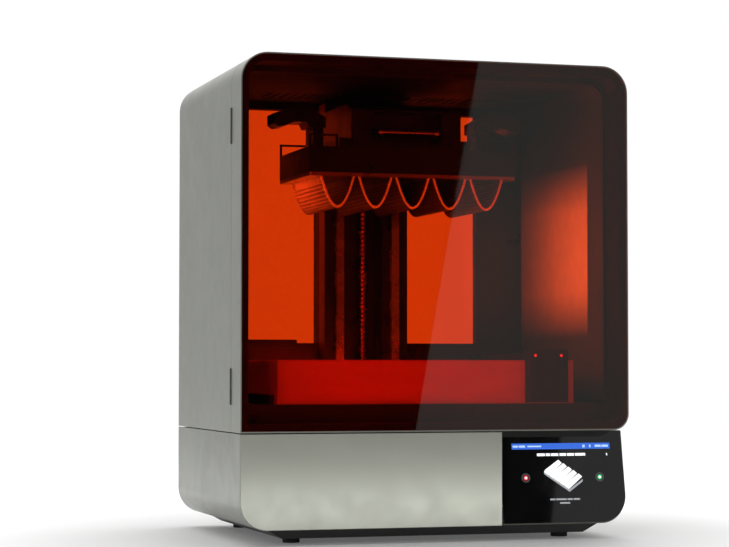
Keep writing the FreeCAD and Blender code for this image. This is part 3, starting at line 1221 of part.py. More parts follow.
# ---------------------------------------------------------------- all sub-parts
def build():
    """Every sub-part by name."""
    leaf_half = HINGE_LEN / 2
    front_left, rear_left, front_right, rear_right = FOOT_PLACES
    fan_pieces = [make(x) for make in (fan_guard, fan_frame) for x in FAN_X]
    return {
        "base_wrap": base_wrap(),
        "base_front_panel": base_front_panel(),
        "screen_glass": screen_layer(0.0, SCREEN_T, 0.0),
        "display_module": display_module(),
        "base_rear_panel": base_rear_panel(),
        "power_inlet": power_inlet(),
        "power_switch": power_switch(),
        "port_block": port_block(),
        "fan_frames": Part.makeCompound(fan_pieces),
        "fan_rotor_left": fan_rotor(FAN_X[1]),
        "fan_rotor_right": fan_rotor(FAN_X[0]),
        "under_tray": under_tray(),
        "foot_front_left": foot(*front_left),
        "foot_front_right": foot(*front_right),
        "foot_rear_left": foot(*rear_left),
        "foot_rear_right": foot(*rear_right),
        "power_supply": power_supply(),
        "mainboard": mainboard(),
        "enclosure_wrap": enclosure_wrap(),
        "rear_panel": rear_panel(),
        "rear_windows": pair(rear_window()),
        "chamber_back": chamber_back(),
        "chamber_liner": chamber_liner(),
        "front_frame": front_frame(),
        "chamber_deck": chamber_deck(),
        "lcd_panel": lcd_panel(),
        "light_unit_housing": light_unit_housing(),
        "led_board": led_board(),
        "door_frame": door_frame(),
        "door_glass": door_glass(),
        "door_inner_frame": door_inner_frame(),
        "door_seal": door_seal(),
        "door_handle": door_handle(),
        "door_hinge_leaves": hinge_leaves(-1, FIT, leaf_half, DOOR_SKIN),
        "frame_hinge_leaves": hinge_leaves(1, -leaf_half, -FIT, WALL),
        "hinge_pins": hinge_pins(),
        "z_tower": z_tower(),
        "z_rails": pair(z_rail()),
        "rail_screws": rail_screws(),
        "screw_bearings": Part.makeCompound([
            screw_bearing(DECK_Z + FIT),
            screw_bearing(TOWER_TOP - BEARING_H),
        ]),
        "lead_screw": lead_screw(),
        "z_motor": z_motor(),
        "bearing_blocks": bearing_blocks(),
        "carriage_plate": carriage_plate(),
        "screw_nut": screw_nut(),
        "carrier_head": carrier_head(),
        "clamp_lever": clamp_lever(),
        "build_platform": build_platform(),
        "build_face": build_face(),
        "platform_lugs": pair(platform_lug()),
        "printed_models": printed_models(),
        "tank_frame": tank_frame(),
        "tank_film": tank_film(),
        "mixer_arm": mixer_arm(),
        "mixer_blade": mixer_blade(),
        "rear_housing": rear_housing(),
        "cartridge_left": cartridge(-CARTRIDGE_X),
        "cartridge_right": cartridge(CARTRIDGE_X),
        "chamber_heater": chamber_heater(),
        "rear_screws": rear_screws(),
    }


def main():
    """Write all sub-parts."""
    os.makedirs("parts", exist_ok=True)
    for name, shape in build().items():
        if not shape.isValid():
            raise ValueError(name + " is not a valid solid")
        shape.exportStep("parts/" + name + ".step")


main()
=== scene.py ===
"""Looks of the large-format resin printer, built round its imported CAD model."""
import math

import bmesh
import bpy
from mathutils import Matrix, Vector


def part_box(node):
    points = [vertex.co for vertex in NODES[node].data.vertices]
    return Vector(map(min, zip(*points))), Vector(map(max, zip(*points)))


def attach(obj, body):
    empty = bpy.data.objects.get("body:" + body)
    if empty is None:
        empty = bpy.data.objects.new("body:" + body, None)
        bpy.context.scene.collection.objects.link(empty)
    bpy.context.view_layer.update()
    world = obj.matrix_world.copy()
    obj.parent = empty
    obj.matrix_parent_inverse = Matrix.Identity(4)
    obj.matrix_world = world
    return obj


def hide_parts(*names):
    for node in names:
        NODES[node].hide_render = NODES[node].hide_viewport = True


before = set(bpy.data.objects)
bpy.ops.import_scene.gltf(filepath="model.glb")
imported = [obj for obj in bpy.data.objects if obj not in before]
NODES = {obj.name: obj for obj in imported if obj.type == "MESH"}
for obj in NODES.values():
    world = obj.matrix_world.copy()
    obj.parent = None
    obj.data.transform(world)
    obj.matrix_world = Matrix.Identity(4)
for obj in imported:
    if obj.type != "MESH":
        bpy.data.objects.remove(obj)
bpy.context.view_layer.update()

MM = 0.001


# ---------------------------------------------------------------- node-tree helpers
class Tree:
    """One material's node tree, with short calls for the nodes used here."""

    def __init__(self, name):
        self.material = bpy.data.materials.new(name)
        self.material.use_nodes = True
        self.nodes = self.material.node_tree.nodes
        self.links = self.material.node_tree.links
        self.nodes.clear()
        self.output = self.nodes.new("ShaderNodeOutputMaterial")
        self.coords = self.nodes.new("ShaderNodeTexCoord")

    def node(self, kind, settings=None, **sockets):
        """A node with its sockets set or linked."""
        made = self.nodes.new("ShaderNode" + kind)
        for key, value in (settings or {}).items():
            setattr(made, key, value)
        for key, value in sockets.items():
            self.set(made, key.replace("_", " "), value)
        return made

    def set(self, node, key, value):
        """Set or link one socket, by name or number."""
        socket = node.inputs[key]
        if isinstance(value, bpy.types.NodeSocket):
            self.links.new(value, socket)
        else:
            socket.default_value = value

    def stretched(self, scale):
        """Object coordinates, stretched."""
        mapping = self.node("Mapping", Scale=scale)
        self.links.new(self.coords.outputs["Object"], mapping.inputs["Vector"])
        return mapping.outputs["Vector"]

    def noise(self, scale, detail=4.0, rough=0.55, stretch=None):
        """Noise between 0 and 1; the scale is in features per metre."""
        vector = self.stretched(stretch) if stretch else self.coords.outputs["Object"]
        made = self.node("TexNoise", Vector=vector, Scale=scale, Detail=detail, Roughness=rough)
        return made.outputs["Fac"]

    def ramp(self, factor, stops):
        """A colour ramp of (position, colour) stops."""
        made = self.node("ValToRGB", Fac=factor)
        band = made.color_ramp
        while len(band.elements) < len(stops):
            band.elements.new(0.5)
        for element, (place, colour) in zip(band.elements, stops):
            element.position = place
            element.color = (*colour, 1.0)
        return made.outputs["Color"]

    def level(self, factor, low, high, start=0.0, stop=1.0):
        """A number spread between two levels."""
        made = self.nodes.new("ShaderNodeMapRange")
        self.set(made, "Value", factor)
        made.inputs["From Min"].default_value = start
        made.inputs["From Max"].default_value = stop
        made.inputs["To Min"].default_value = low
        made.inputs["To Max"].default_value = high
        return made.outputs["Result"]

    def math(self, operation, a, b=0.0):
        """One arithmetic step."""
        made = self.nodes.new("ShaderNodeMath")
        made.operation = operation
        self.set(made, 0, a)
        self.set(made, 1, b)
        return made.outputs[0]

    def bump(self, height, strength, distance, normal=None):
        """A bump normal; the distance is in metres."""
        made = self.node("Bump", Height=height, Strength=strength, Distance=distance)
        if normal is not None:
            self.set(made, "Normal", normal)
        return made.outputs["Normal"]

    def mixed(self, factor, first, second, blend="MIX"):
        """Two colours mixed by a factor."""
        mix = self.nodes.new("ShaderNodeMix")
        mix.data_type = "RGBA"
        mix.blend_type = blend
        self.set(mix, "Factor", factor)
        self.set(mix, 6, first)
        self.set(mix, 7, second)
        return mix.outputs[2]

    def edges_lightened(self, colour, edge_colour, amount):
        """The colour, lighter where edges stand out."""
        geometry = self.nodes.new("ShaderNodeNewGeometry")
        edges = self.level(geometry.outputs["Pointiness"], 0.0, amount, 0.52, 0.60)
        return self.mixed(edges, colour, (*edge_colour, 1.0))

    def place(self):
        """Object coordinates as separate X, Y and Z."""
        split = self.nodes.new("ShaderNodeSeparateXYZ")
        self.links.new(self.coords.outputs["Object"], split.inputs["Vector"])
        return split.outputs["X"], split.outputs["Y"], split.outputs["Z"]

    def principled(self, **sockets):
        """The surface shader, wired to the output."""
        made = self.nodes.new("ShaderNodeBsdfPrincipled")
        for key, value in sockets.items():
            self.set(made, key.replace("_", " "), value)
        self.links.new(made.outputs["BSDF"], self.output.inputs["Surface"])
        return made


def shade(colour, factor):
    """A colour made lighter or darker."""
    return tuple(min(c * factor, 1.0) for c in colour)


# ---------------------------------------------------------------- materials
def painted(name, colour, roughness=0.36, metallic=0.6):
    """Satin metallic paint: flakes, a faint orange peel and slow tone changes."""
    t = Tree(name)
    flakes = t.noise(5200.0, 1.0)
    cloud = t.noise(3.5, 3.0)
    tone = t.ramp(flakes, ((0.30, shade(colour, 0.90)), (0.55, colour), (0.78, shade(colour, 1.16))))
    clouds = t.ramp(cloud, ((0.3, (0.95, 0.95, 0.95)), (0.7, (1.0, 1.0, 1.0))))
    surface = t.edges_lightened(t.mixed(1.0, tone, clouds, "MULTIPLY"), shade(colour, 1.5), 0.35)
    rough = t.level(t.noise(26.0, 5.0), roughness - 0.04, roughness + 0.05, 0.3, 0.7)
    peel = t.bump(t.noise(700.0, 2.0), 0.10, 0.0002)
    grain = t.bump(flakes, 0.06, 0.0001, peel)
    t.principled(Base_Color=surface, Metallic=metallic, Roughness=rough, Normal=grain,
                 Coat_Weight=0.18, Coat_Roughness=0.22)
    return t.material


def moulded(name, colour, roughness=0.5, grain=1500.0, depth=0.12, coat=0.0):
    """Moulded plastic with a spark-eroded grain, a faintly uneven tone and lighter edges."""
    t = Tree(name)
    cloud = t.noise(9.0, 4.0)
    tone = t.ramp(cloud, ((0.25, shade(colour, 0.82)), (0.75, shade(colour, 1.18))))
    surface = t.edges_lightened(tone, shade(colour, 2.2), 0.4)
    rough = t.level(t.noise(40.0, 6.0), roughness - 0.06, roughness + 0.08, 0.3, 0.7)
    cells = t.node("TexVoronoi", Vector=t.coords.outputs["Object"], Scale=grain)
    normal = t.bump(cells.outputs["Distance"], depth, 0.0002)
    t.principled(Base_Color=surface, Roughness=rough, Normal=normal, Coat_Weight=coat, Coat_Roughness=0.1)
    return t.material


def powder_coat(name, colour, roughness=0.42):
    """Black powder coat on sheet metal: fine pebbled skin, slightly glossy."""
    t = Tree(name)
    pebbles = t.noise(900.0, 3.0)
    tone = t.ramp(t.noise(6.0, 4.0), ((0.3, shade(colour, 0.8)), (0.7, shade(colour, 1.25))))
    rough = t.level(t.noise(18.0, 5.0), roughness - 0.07, roughness + 0.07, 0.3, 0.7)
    normal = t.bump(pebbles, 0.10, 0.0003)
    t.principled(Base_Color=t.edges_lightened(tone, shade(colour, 3.0), 0.3), Roughness=rough, Normal=normal,
                 Coat_Weight=0.12, Coat_Roughness=0.3)
    return t.material


# Painted light: a paler patch on both side walls of the chamber stands in for the warm glow that light from
# the rear windows throws there.
PAINTED_LIGHT_X = 0.3145           # the patch lies on the side walls only, beyond this distance from the middle
PAINTED_LIGHT_Y = (-0.128, 0.178)
PAINTED_LIGHT_FADE_Y = 0.02        # paler in front of this, fading towards the back
PAINTED_LIGHT_Z = (0.344, 0.628)
PAINTED_LIGHT_SOFT_OUT = 0.01
PAINTED_LIGHT_SOFT_IN = 0.07


def chamber_wall(name, colour, painted_light_colour):
    """Matt black lining with a painted pool of light on both side walls, soft at its back, top and foot."""
    t = Tree(name)
    x, y, z = t.place()
    side = t.math("GREATER_THAN", t.math("ABSOLUTE", x), PAINTED_LIGHT_X)
    front = t.math("GREATER_THAN", y, PAINTED_LIGHT_Y[0])
    back = t.level(y, 1.0, 0.45, PAINTED_LIGHT_FADE_Y, PAINTED_LIGHT_Y[1])
    low = t.level(z, 0.0, 1.0, PAINTED_LIGHT_Z[0] - PAINTED_LIGHT_SOFT_OUT, PAINTED_LIGHT_Z[0] + PAINTED_LIGHT_SOFT_IN)
    high = t.level(z, 1.0, 0.0, PAINTED_LIGHT_Z[1] - PAINTED_LIGHT_SOFT_IN, PAINTED_LIGHT_Z[1] + PAINTED_LIGHT_SOFT_OUT)
    lengthwise = t.math("MULTIPLY", front, back)
    upright = t.math("MULTIPLY", low, high)
    # the mask marks where the painted pool of light lies
    mask = t.math("MULTIPLY", t.math("MULTIPLY", lengthwise, upright), side)
    coat = t.ramp(t.noise(6.0, 4.0), ((0.3, shade(colour, 0.8)), (0.7, shade(colour, 1.25))))
    painted_light = t.ramp(t.noise(45.0, 5.0), ((0.3, shade(painted_light_colour, 0.9)), (0.7, shade(painted_light_colour, 1.1))))
    rough = t.level(t.noise(18.0, 5.0), 0.58, 0.72, 0.3, 0.7)
    normal = t.bump(t.noise(900.0, 3.0), 0.10, 0.0003)
    t.principled(Base_Color=t.mixed(mask, coat, painted_light), Roughness=rough, Normal=normal,
                 Specular_IOR_Level=0.15)
    return t.material


# Painted highlight: the prints' front rims are coloured pale for the light that shows through them.
RIM_HIGHLIGHT_Y = (-0.1208, -0.1192)  # the prints' front rims end between these


def printed_resin(name, colour, rim_highlight_colour):
    """Dark, slightly glossy cured resin with a painted highlight on its front rims."""
    t = Tree(name)
    rim = t.level(t.place()[1], 1.0, 0.0, *RIM_HIGHLIGHT_Y)
    body = t.ramp(t.noise(60.0, 4.0), ((0.3, shade(colour, 0.8)), (0.7, shade(colour, 1.2))))
    # pale colour of the painted highlight on the front rims
    pale = t.ramp(t.noise(420.0, 4.0), ((0.35, shade(rim_highlight_colour, 0.45)), (0.65, rim_highlight_colour)))
    rough = t.level(t.noise(90.0, 4.0), 0.38, 0.52, 0.3, 0.7)
    normal = t.bump(t.noise(700.0, 3.0), 0.12, 0.0002)
    t.principled(Base_Color=t.mixed(rim, body, pale), Roughness=rough, Normal=normal)
    return t.material


def machined(name, colour, roughness=0.28, stretch=(1.0, 1.0, 60.0), scale=60.0, metallic=1.0):
    """Ground or brushed metal: fine lines along one direction and a few smudges."""
    t = Tree(name)
    lines = t.noise(scale, 6.0, 0.7, stretch)
    smudge = t.noise(30.0, 4.0)
    tone = t.ramp(lines, ((0.25, shade(colour, 0.78)), (0.5, colour), (0.8, shade(colour, 1.15))))
    rough = t.level(smudge, roughness - 0.06, roughness + 0.12, 0.3, 0.75)
    normal = t.bump(lines, 0.18, 0.0001)
    surface = t.edges_lightened(tone, shade(colour, 1.4), 0.3)
    t.principled(Base_Color=surface, Metallic=metallic, Roughness=rough, Normal=normal)
    return t.material


def rubber(name, colour):
    """Matt rubber with dust in its grain."""
    t = Tree(name)
    dust = t.noise(140.0, 6.0)
    tone = t.ramp(dust, ((0.35, colour), (0.8, shade(colour, 2.0))))
    normal = t.bump(t.noise(1300.0, 2.0), 0.2, 0.0002)
    t.principled(Base_Color=tone, Roughness=t.level(dust, 0.72, 0.9, 0.3, 0.7), Normal=normal)
    return t.material


def tinted_glass(name, colour, roughness=0.012):
    """Coloured safety glass; lamps shine through it with the same tint."""
    t = Tree(name)
    smear = t.noise(7.0, 5.0, 0.6, (1.0, 1.0, 0.35))
    tone = t.ramp(smear, ((0.3, shade(colour, 0.97)), (0.7, colour)))
    rough = t.level(smear, roughness, roughness + 0.02, 0.45, 0.75)
    ripple = t.bump(t.noise(5.0, 2.0), 0.02, 0.0005)
    glass = t.principled(Base_Color=tone, Roughness=rough, Normal=ripple, Transmission_Weight=1.0, IOR=1.45)
    clear = t.node("BsdfTransparent", Color=tone)
    path = t.nodes.new("ShaderNodeLightPath")
    mix = t.nodes.new("ShaderNodeMixShader")
    t.set(mix, 0, path.outputs["Is Shadow Ray"])
    t.links.new(glass.outputs["BSDF"], mix.inputs[1])
    t.links.new(clear.outputs["BSDF"], mix.inputs[2])
    t.links.new(mix.outputs["Shader"], t.output.inputs["Surface"])
    return t.material


def amber_moulding(name, colour):
    """Thick translucent amber plastic: deep colour, soft inner light, small flow marks."""
    t = Tree(name)
    flow = t.noise(12.0, 5.0, 0.6, (0.3, 1.0, 2.0))
    tone = t.ramp(flow, ((0.3, shade(colour, 0.88)), (0.7, shade(colour, 1.08))))
    rough = t.level(t.noise(60.0, 4.0), 0.16, 0.26, 0.3, 0.7)
    normal = t.bump(t.noise(300.0, 2.0), 0.05, 0.0002)
    t.principled(Base_Color=tone, Roughness=rough, Normal=normal, Subsurface_Weight=0.25,
                 Subsurface_Radius=(0.02, 0.006, 0.002), Subsurface_Scale=1.0,
                 Coat_Weight=0.25, Coat_Roughness=0.08)
    return t.material


def cured_resin(name, colour):
    """Cured resin with its fine layer lines."""
    t = Tree(name)
    layers = t.node("TexWave", {"bands_direction": "Z"}, Vector=t.coords.outputs["Object"], Scale=1600.0,
                    Distortion=0.0)
    blush = t.noise(25.0, 4.0)
    tone = t.ramp(blush, ((0.3, shade(colour, 0.8)), (0.75, shade(colour, 1.15))))
    rough = t.level(blush, 0.26, 0.42, 0.3, 0.7)
    normal = t.bump(layers.outputs["Fac"], 0.25, 0.0001)
    t.principled(Base_Color=tone, Roughness=rough, Normal=normal, Subsurface_Weight=0.3,
                 Subsurface_Radius=(0.01, 0.004, 0.001), Subsurface_Scale=1.0)
    return t.material


def circuit_board(name):
    """Green solder mask with copper runs under it."""
    t = Tree(name)
    runs = t.node("TexBrick", Vector=t.coords.outputs["Object"], Scale=90.0, Mortar_Size=0.03,
                  Color1=(0.012, 0.085, 0.035, 1), Color2=(0.010, 0.065, 0.030, 1),
                  Mortar=(0.03, 0.20, 0.07, 1))
    normal = t.bump(runs.outputs["Fac"], 0.2, 0.0001)
    rough = t.level(t.noise(50.0, 3.0), 0.28, 0.4, 0.3, 0.7)
    t.principled(Base_Color=runs.outputs["Color"], Roughness=rough, Normal=normal, Coat_Weight=0.3)
    return t.material


def glowing(name, colour, strength, scale=900.0):
    """A lit area of the touchscreen with its fine pixel grid."""
    t = Tree(name)
    grid = t.node("TexChecker", Vector=t.coords.outputs["Object"], Scale=scale,
                  Color1=(*shade(colour, 0.94), 1), Color2=(*colour, 1))
    t.principled(Base_Color=grid.outputs["Color"], Roughness=0.35, Emission_Color=grid.outputs["Color"],
                 Emission_Strength=strength)
    return t.material


def screen_glass(name):
    """Black cover glass with faint finger marks."""
    t = Tree(name)
    smudges = t.noise(22.0, 6.0, 0.65)
    tone = t.ramp(smudges, ((0.3, (0.0045, 0.0045, 0.005)), (0.7, (0.008, 0.008, 0.0085))))
    rough = t.level(smudges, 0.03, 0.11, 0.45, 0.8)
    t.principled(Base_Color=tone, Roughness=rough, Coat_Weight=0.0)
    return t.material


def clear_film(name):
    """Stretched clear film, faintly rippled."""
    t = Tree(name)
    ripple = t.bump(t.noise(30.0, 3.0), 0.2, 0.0005)
    t.principled(Base_Color=t.ramp(t.noise(10.0), ((0.3, (0.85, 0.82, 0.78)), (0.7, (0.95, 0.93, 0.9)))),
                 Roughness=t.level(t.noise(50.0), 0.05, 0.14), Normal=ripple, Alpha=0.3)
    return t.material


SAGE = (0.262, 0.270, 0.232)
PAINT = painted("painted_shell", SAGE)
DOOR_GLASS = tinted_glass("door_glass_amber", (0.80, 0.128, 0.030))
WINDOW_GLASS = tinted_glass("window_amber", (0.86, 0.30, 0.05))
BLACK_PLASTIC = moulded("black_plastic", (0.012, 0.012, 0.013))
BLACK_GLOSS = moulded("black_gloss_plastic", (0.010, 0.010, 0.011), 0.24, 700.0, 0.04, 0.3)
LINER_BLACK = powder_coat("liner_black", (0.014, 0.013, 0.013), 0.34)
TRAY_BLACK = powder_coat("tray_black", (0.010, 0.010, 0.010), 0.5)
STEEL = machined("ground_steel", (0.50, 0.50, 0.52))
BRIGHT_STEEL = machined("bright_steel", (0.62, 0.62, 0.64), 0.2, (1.0, 1.0, 8.0), 40.0)
ALUMINIUM = machined("aluminium", (0.60, 0.60, 0.62), 0.3, (30.0, 1.0, 1.0), 50.0)
DARK_ALUMINIUM = machined("dark_anodised", (0.045, 0.045, 0.048), 0.32, (1.0, 30.0, 1.0), 80.0, 0.85)
BRONZE = machined("bronze", (0.55, 0.36, 0.14), 0.3, (1.0, 1.0, 20.0), 60.0)
RUBBER = rubber("rubber", (0.012, 0.012, 0.012))
BOARD = circuit_board("circuit_board")
SCREEN = screen_glass("screen_cover_glass")
DISPLAY = moulded("display_back", (0.02, 0.02, 0.022), 0.3, 900.0, 0.05)
TANK = amber_moulding("tank_amber", (0.75, 0.50, 0.18))
FILM = clear_film("tank_film")
RESIN = cured_resin("cured_resin", (0.50, 0.075, 0.022))
# the second colour is the painted highlight on the prints' front rims
PRINT_RESIN = printed_resin("printed_resin", (0.050, 0.030, 0.022), (0.85, 0.60, 0.34))
CARTRIDGE = moulded("cartridge_grey", (0.085, 0.085, 0.09), 0.45, 1200.0)
CONNECTOR = moulded("connector_black", (0.014, 0.014, 0.014), 0.4, 1800.0)
# the lining colour, then the colour of the painted pool of light on its side walls
WALL_BLACK = chamber_wall("chamber_wall_black", (0.014, 0.013, 0.013), (0.20, 0.17, 0.15))
# painted shade: the hinge parts are dark so that the hinge notches beside the door read as dark gaps
HINGE_SHADE_DARK = moulded("hinge_dark_shade", (0.035, 0.036, 0.034), 0.7, 1400.0)
RAIL_STEEL = machined("rail_steel", (0.60, 0.60, 0.62), 0.22, (30.0, 30.0, 0.3), 20.0)
SCREW_METAL = machined("screw_bronze", (0.80, 0.56, 0.26), 0.22, (1.0, 1.0, 6.0), 40.0)
BLACK_INK = moulded("black_ink", (0.004, 0.004, 0.004), 0.5, 2400.0)
MARK_RED = glowing("glowing_red_spot", (0.9, 0.03, 0.015), 1.2)
# painted highlight: a redder amber for the strip along the tank's top edge
TANK_RIM_HIGHLIGHT = amber_moulding("tank_rim_highlight_amber", (0.95, 0.16, 0.03))
GLOW_BLUE = glowing("screen_blue", (0.035, 0.12, 0.55), 0.95)
GLOW_PALE = glowing("screen_pale_blue", (0.45, 0.62, 0.95), 0.8)
GLOW_WHITE = glowing("screen_white", (0.92, 0.93, 0.95), 0.9)
GLOW_GREY = glowing("screen_grey", (0.34, 0.35, 0.37), 0.8)
GLOW_DIM = glowing("screen_dim", (0.10, 0.10, 0.11), 0.6)
GLOW_RED = glowing("screen_red", (0.75, 0.03, 0.04), 0.9)
GLOW_GREEN = glowing("screen_green", (0.04, 0.50, 0.14), 0.9)

LOOKS = {
    "base_wrap": PAINT, "base_front_panel": PAINT, "base_rear_panel": PAINT, "enclosure_wrap": PAINT,
    "rear_panel": PAINT, "door_frame": PAINT,
    "door_glass": DOOR_GLASS, "rear_windows": WINDOW_GLASS,
    "screen_glass": SCREEN, "display_module": DISPLAY, "lcd_panel": DISPLAY,
    "power_inlet": CONNECTOR, "power_switch": CONNECTOR, "port_block": STEEL,
    "fan_frames": BLACK_PLASTIC, "fan_rotor_left": BLACK_GLOSS, "fan_rotor_right": BLACK_GLOSS,
    "under_tray": TRAY_BLACK, "rear_housing": BLACK_PLASTIC,
    "foot_front_left": RUBBER, "foot_front_right": RUBBER,
    "foot_rear_left": RUBBER, "foot_rear_right": RUBBER,
    "power_supply": ALUMINIUM, "mainboard": BOARD, "light_unit_housing": DARK_ALUMINIUM,
    "led_board": ALUMINIUM, "chamber_heater": ALUMINIUM,
    "chamber_back": LINER_BLACK, "chamber_liner": WALL_BLACK, "front_frame": LINER_BLACK,
    "chamber_deck": LINER_BLACK, "door_inner_frame": BLACK_PLASTIC, "door_seal": RUBBER,
    "door_handle": BLACK_GLOSS,
    "door_hinge_leaves": HINGE_SHADE_DARK, "frame_hinge_leaves": HINGE_SHADE_DARK, "hinge_pins": HINGE_SHADE_DARK,
    "z_tower": DARK_ALUMINIUM, "z_rails": RAIL_STEEL, "rail_screws": STEEL, "screw_bearings": DARK_ALUMINIUM,
    "lead_screw": BRIGHT_STEEL, "z_motor": TRAY_BLACK, "bearing_blocks": STEEL,
    "carriage_plate": DARK_ALUMINIUM, "screw_nut": BRONZE, "carrier_head": DARK_ALUMINIUM,
    "clamp_lever": STEEL, "build_platform": DARK_ALUMINIUM, "build_face": ALUMINIUM,
    "platform_lugs": DARK_ALUMINIUM, "printed_models": RESIN, "tank_frame": TANK, "tank_film": FILM,
    "mixer_arm": BLACK_PLASTIC, "mixer_blade": RUBBER,
    "cartridge_left": CARTRIDGE, "cartridge_right": CARTRIDGE, "rear_screws": STEEL,
}


def dress_nodes():
    """Give every CAD node its material."""
    for name, material in LOOKS.items():
        data = NODES[name].data
        data.materials.clear()
        data.materials.append(material)


# ---------------------------------------------------------------- mesh helpers for the detail pieces
def piece(name, verts, faces, material, body, smooth=False):
    """A closed detail piece in row coordinates (metres) that rides on a body."""
    mesh = bpy.data.meshes.new(name)
    mesh.from_pydata(verts, [], faces)
    shape = bmesh.new()
    shape.from_mesh(mesh)
    bmesh.ops.remove_doubles(shape, verts=shape.verts, dist=1e-7)
    bmesh.ops.recalc_face_normals(shape, faces=shape.faces)
    shape.to_mesh(mesh)
    shape.free()
    for polygon in mesh.polygons:
        polygon.use_smooth = smooth
    mesh.materials.append(material)
    obj = bpy.data.objects.new(name, mesh)
    bpy.context.scene.collection.objects.link(obj)
    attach(obj, body)
    return obj


def slab(outline, lift, thickness, place):
    """Faces of a thin plate: the outline on one surface and the same outline a thickness above it."""
    count = len(outline)
    verts = [place(u, v, lift) for u, v in outline] + [place(u, v, lift + thickness) for u, v in outline]
    faces = [tuple(range(count)), tuple(range(2 * count - 1, count - 1, -1))]
    faces += [(i, (i + 1) % count, count + (i + 1) % count, count + i) for i in range(count)]
    return verts, faces


def merged(parts):
    """Several (verts, faces) lists as one."""
    verts = []
    faces = []
    for part_verts, part_faces in parts:
        start = len(verts)
        verts += part_verts
        faces += [tuple(start + i for i in face) for face in part_faces]
    return verts, faces


def circle(u, v, radius, steps=32):
    """Points round a circle."""
    return [(u + radius * math.cos(2 * math.pi * i / steps), v + radius * math.sin(2 * math.pi * i / steps))
            for i in range(steps)]


def annulus(u, v, outer, inner, steps=36):
    """A ring as a fan of small quads."""
    outside = circle(u, v, outer, steps)
    inside = circle(u, v, inner, steps)
    following = [(i + 1) % steps for i in range(steps)]
    return [[outside[i], outside[n], inside[n], inside[i]] for i, n in enumerate(following)]


def rectangle(u0, u1, v0, v1):
    """Corner points of a rectangle."""
    return [(u0, v0), (u1, v0), (u1, v1), (u0, v1)]


# ---------------------------------------------------------------- lead screw
def lead_screw_piece():
    """Threaded lead screw with its clamping coupler, inside the CAD screw's outline."""
    low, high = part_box("lead_screw")
    cx = (low[0] + high[0]) / 2
    cy = (low[1] + high[1]) / 2
    coupler_r = (high[0] - low[0]) / 2
    screw_r = 8.0 * MM
    lead = 8.0 * MM
    coupler_h = 28.0 * MM
    start = low[2] + coupler_h
    turns = 28
    per_lead = 6
    rings = int((high[2] - start) / lead * per_lead)
    profile = []
    for r, z in ((0.0, low[2]), (coupler_r - 1 * MM, low[2]), (coupler_r, low[2] + 1 * MM),
                 (coupler_r, start - 1 * MM), (coupler_r - 1 * MM, start), (screw_r - 2.2 * MM, start)):
        profile.append((r, z, False))
    for index in range(1, rings):
        profile.append((screw_r, start + (high[2] - start) * index / rings, True))
    profile.append((screw_r - 2.2 * MM, high[2], False))
    profile.append((0.0, high[2], False))
    verts = []
    for r, z, threaded in profile:
        for k in range(turns):
            angle = 2 * math.pi * k / turns
            depth = 0.0
            if threaded:
                phase = (z / lead - angle / (2 * math.pi)) % 1.0
                depth = 2.0 * MM * max(0.0, min(1.0, (abs(phase - 0.5) - 0.16) * 6.0))
            radius = max(r - depth, 0.0)
            verts.append((cx + radius * math.cos(angle), cy + radius * math.sin(angle), z))
    faces = []
    for ring in range(len(profile) - 1):
        for k in range(turns):
            a = ring * turns + k
            b = ring * turns + (k + 1) % turns
            faces.append((a, b, b + turns, a + turns))
    obj = piece("threaded_lead_screw", verts, faces, SCREW_METAL, "screw", True)
    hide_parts("lead_screw")


# ---------------------------------------------------------------- prints
PRINT_COUNT = 5
PRINT_PITCH = 66.0 * MM
PRINT_HALF = 30.4 * MM
PRINT_WALL = 4.2 * MM
CELLS_ALONG = 36
CELLS_AROUND = 26
HOLE_SHARE = 0.56          # width of a cell's hole over the cell's width


def lattice_prints():
    """The trough prints with their perforated skins, built between the CAD prints' limits."""
    low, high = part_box("printed_models")
    drop = high[2] - low[2] - 0.1 * MM
    y0 = low[1]
    y1 = high[1]
    parts = []
    for index in range(PRINT_COUNT):
        x = (index - (PRINT_COUNT - 1) / 2) * PRINT_PITCH

        def skin(u, v, depth, middle=x):
            """A point on the trough: u across, v along, depth inside the outer skin."""
            across = 2 * u - 1
            half = PRINT_HALF - depth
            deep = drop - depth
            return (middle + half * across, y0 + (y1 - y0) * v, high[2] - deep * (1 - across * across))

        for i in range(CELLS_AROUND):
            for j in range(CELLS_ALONG):
                v0 = j / CELLS_ALONG
                v1 = (j + 1) / CELLS_ALONG
                edge = min(j, CELLS_ALONG - 1 - j)
                open_cell = (4 <= i < CELLS_AROUND - 4) or (edge < 3 and 0 < i < CELLS_AROUND - 1)
                parts.append(lattice_cell(skin, across_step(i), across_step(i + 1), v0, v1, open_cell))
        parts.append(trough_rims(skin))
    verts, faces = merged(parts)
    obj = piece("lattice_prints", verts, faces, PRINT_RESIN, "platform")
    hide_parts("printed_models")


def across_step(i):
    """Where step i lies across a trough, from 0 to 1, closer together at the sides."""
    return 0.5 - 0.5 * math.cos(math.pi * i / CELLS_AROUND)


def lattice_cell(skin, u0, u1, v0, v1, open_cell):
    """One cell of the perforated skin, outside, inside and, if open, the walls of its hole."""
    corners = [(u0, v0), (u1, v0), (u1, v1), (u0, v1)]
    verts = [skin(u, v, 0.0) for u, v in corners] + [skin(u, v, PRINT_WALL) for u, v in corners]
    if not open_cell:
        return verts, [(0, 1, 2, 3), (7, 6, 5, 4)]
    um = (u0 + u1) / 2
    vm = (v0 + v1) / 2
    hole = [(um + (u - um) * HOLE_SHARE, vm + (v - vm) * HOLE_SHARE) for u, v in corners]
    verts += [skin(u, v, 0.0) for u, v in hole] + [skin(u, v, PRINT_WALL) for u, v in hole]
    faces = []
    for k in range(4):
        n = (k + 1) % 4
        faces.append((k, n, 8 + n, 8 + k))
        faces.append((4 + n, 4 + k, 12 + k, 12 + n))
        faces.append((8 + k, 8 + n, 12 + n, 12 + k))
    return verts, faces


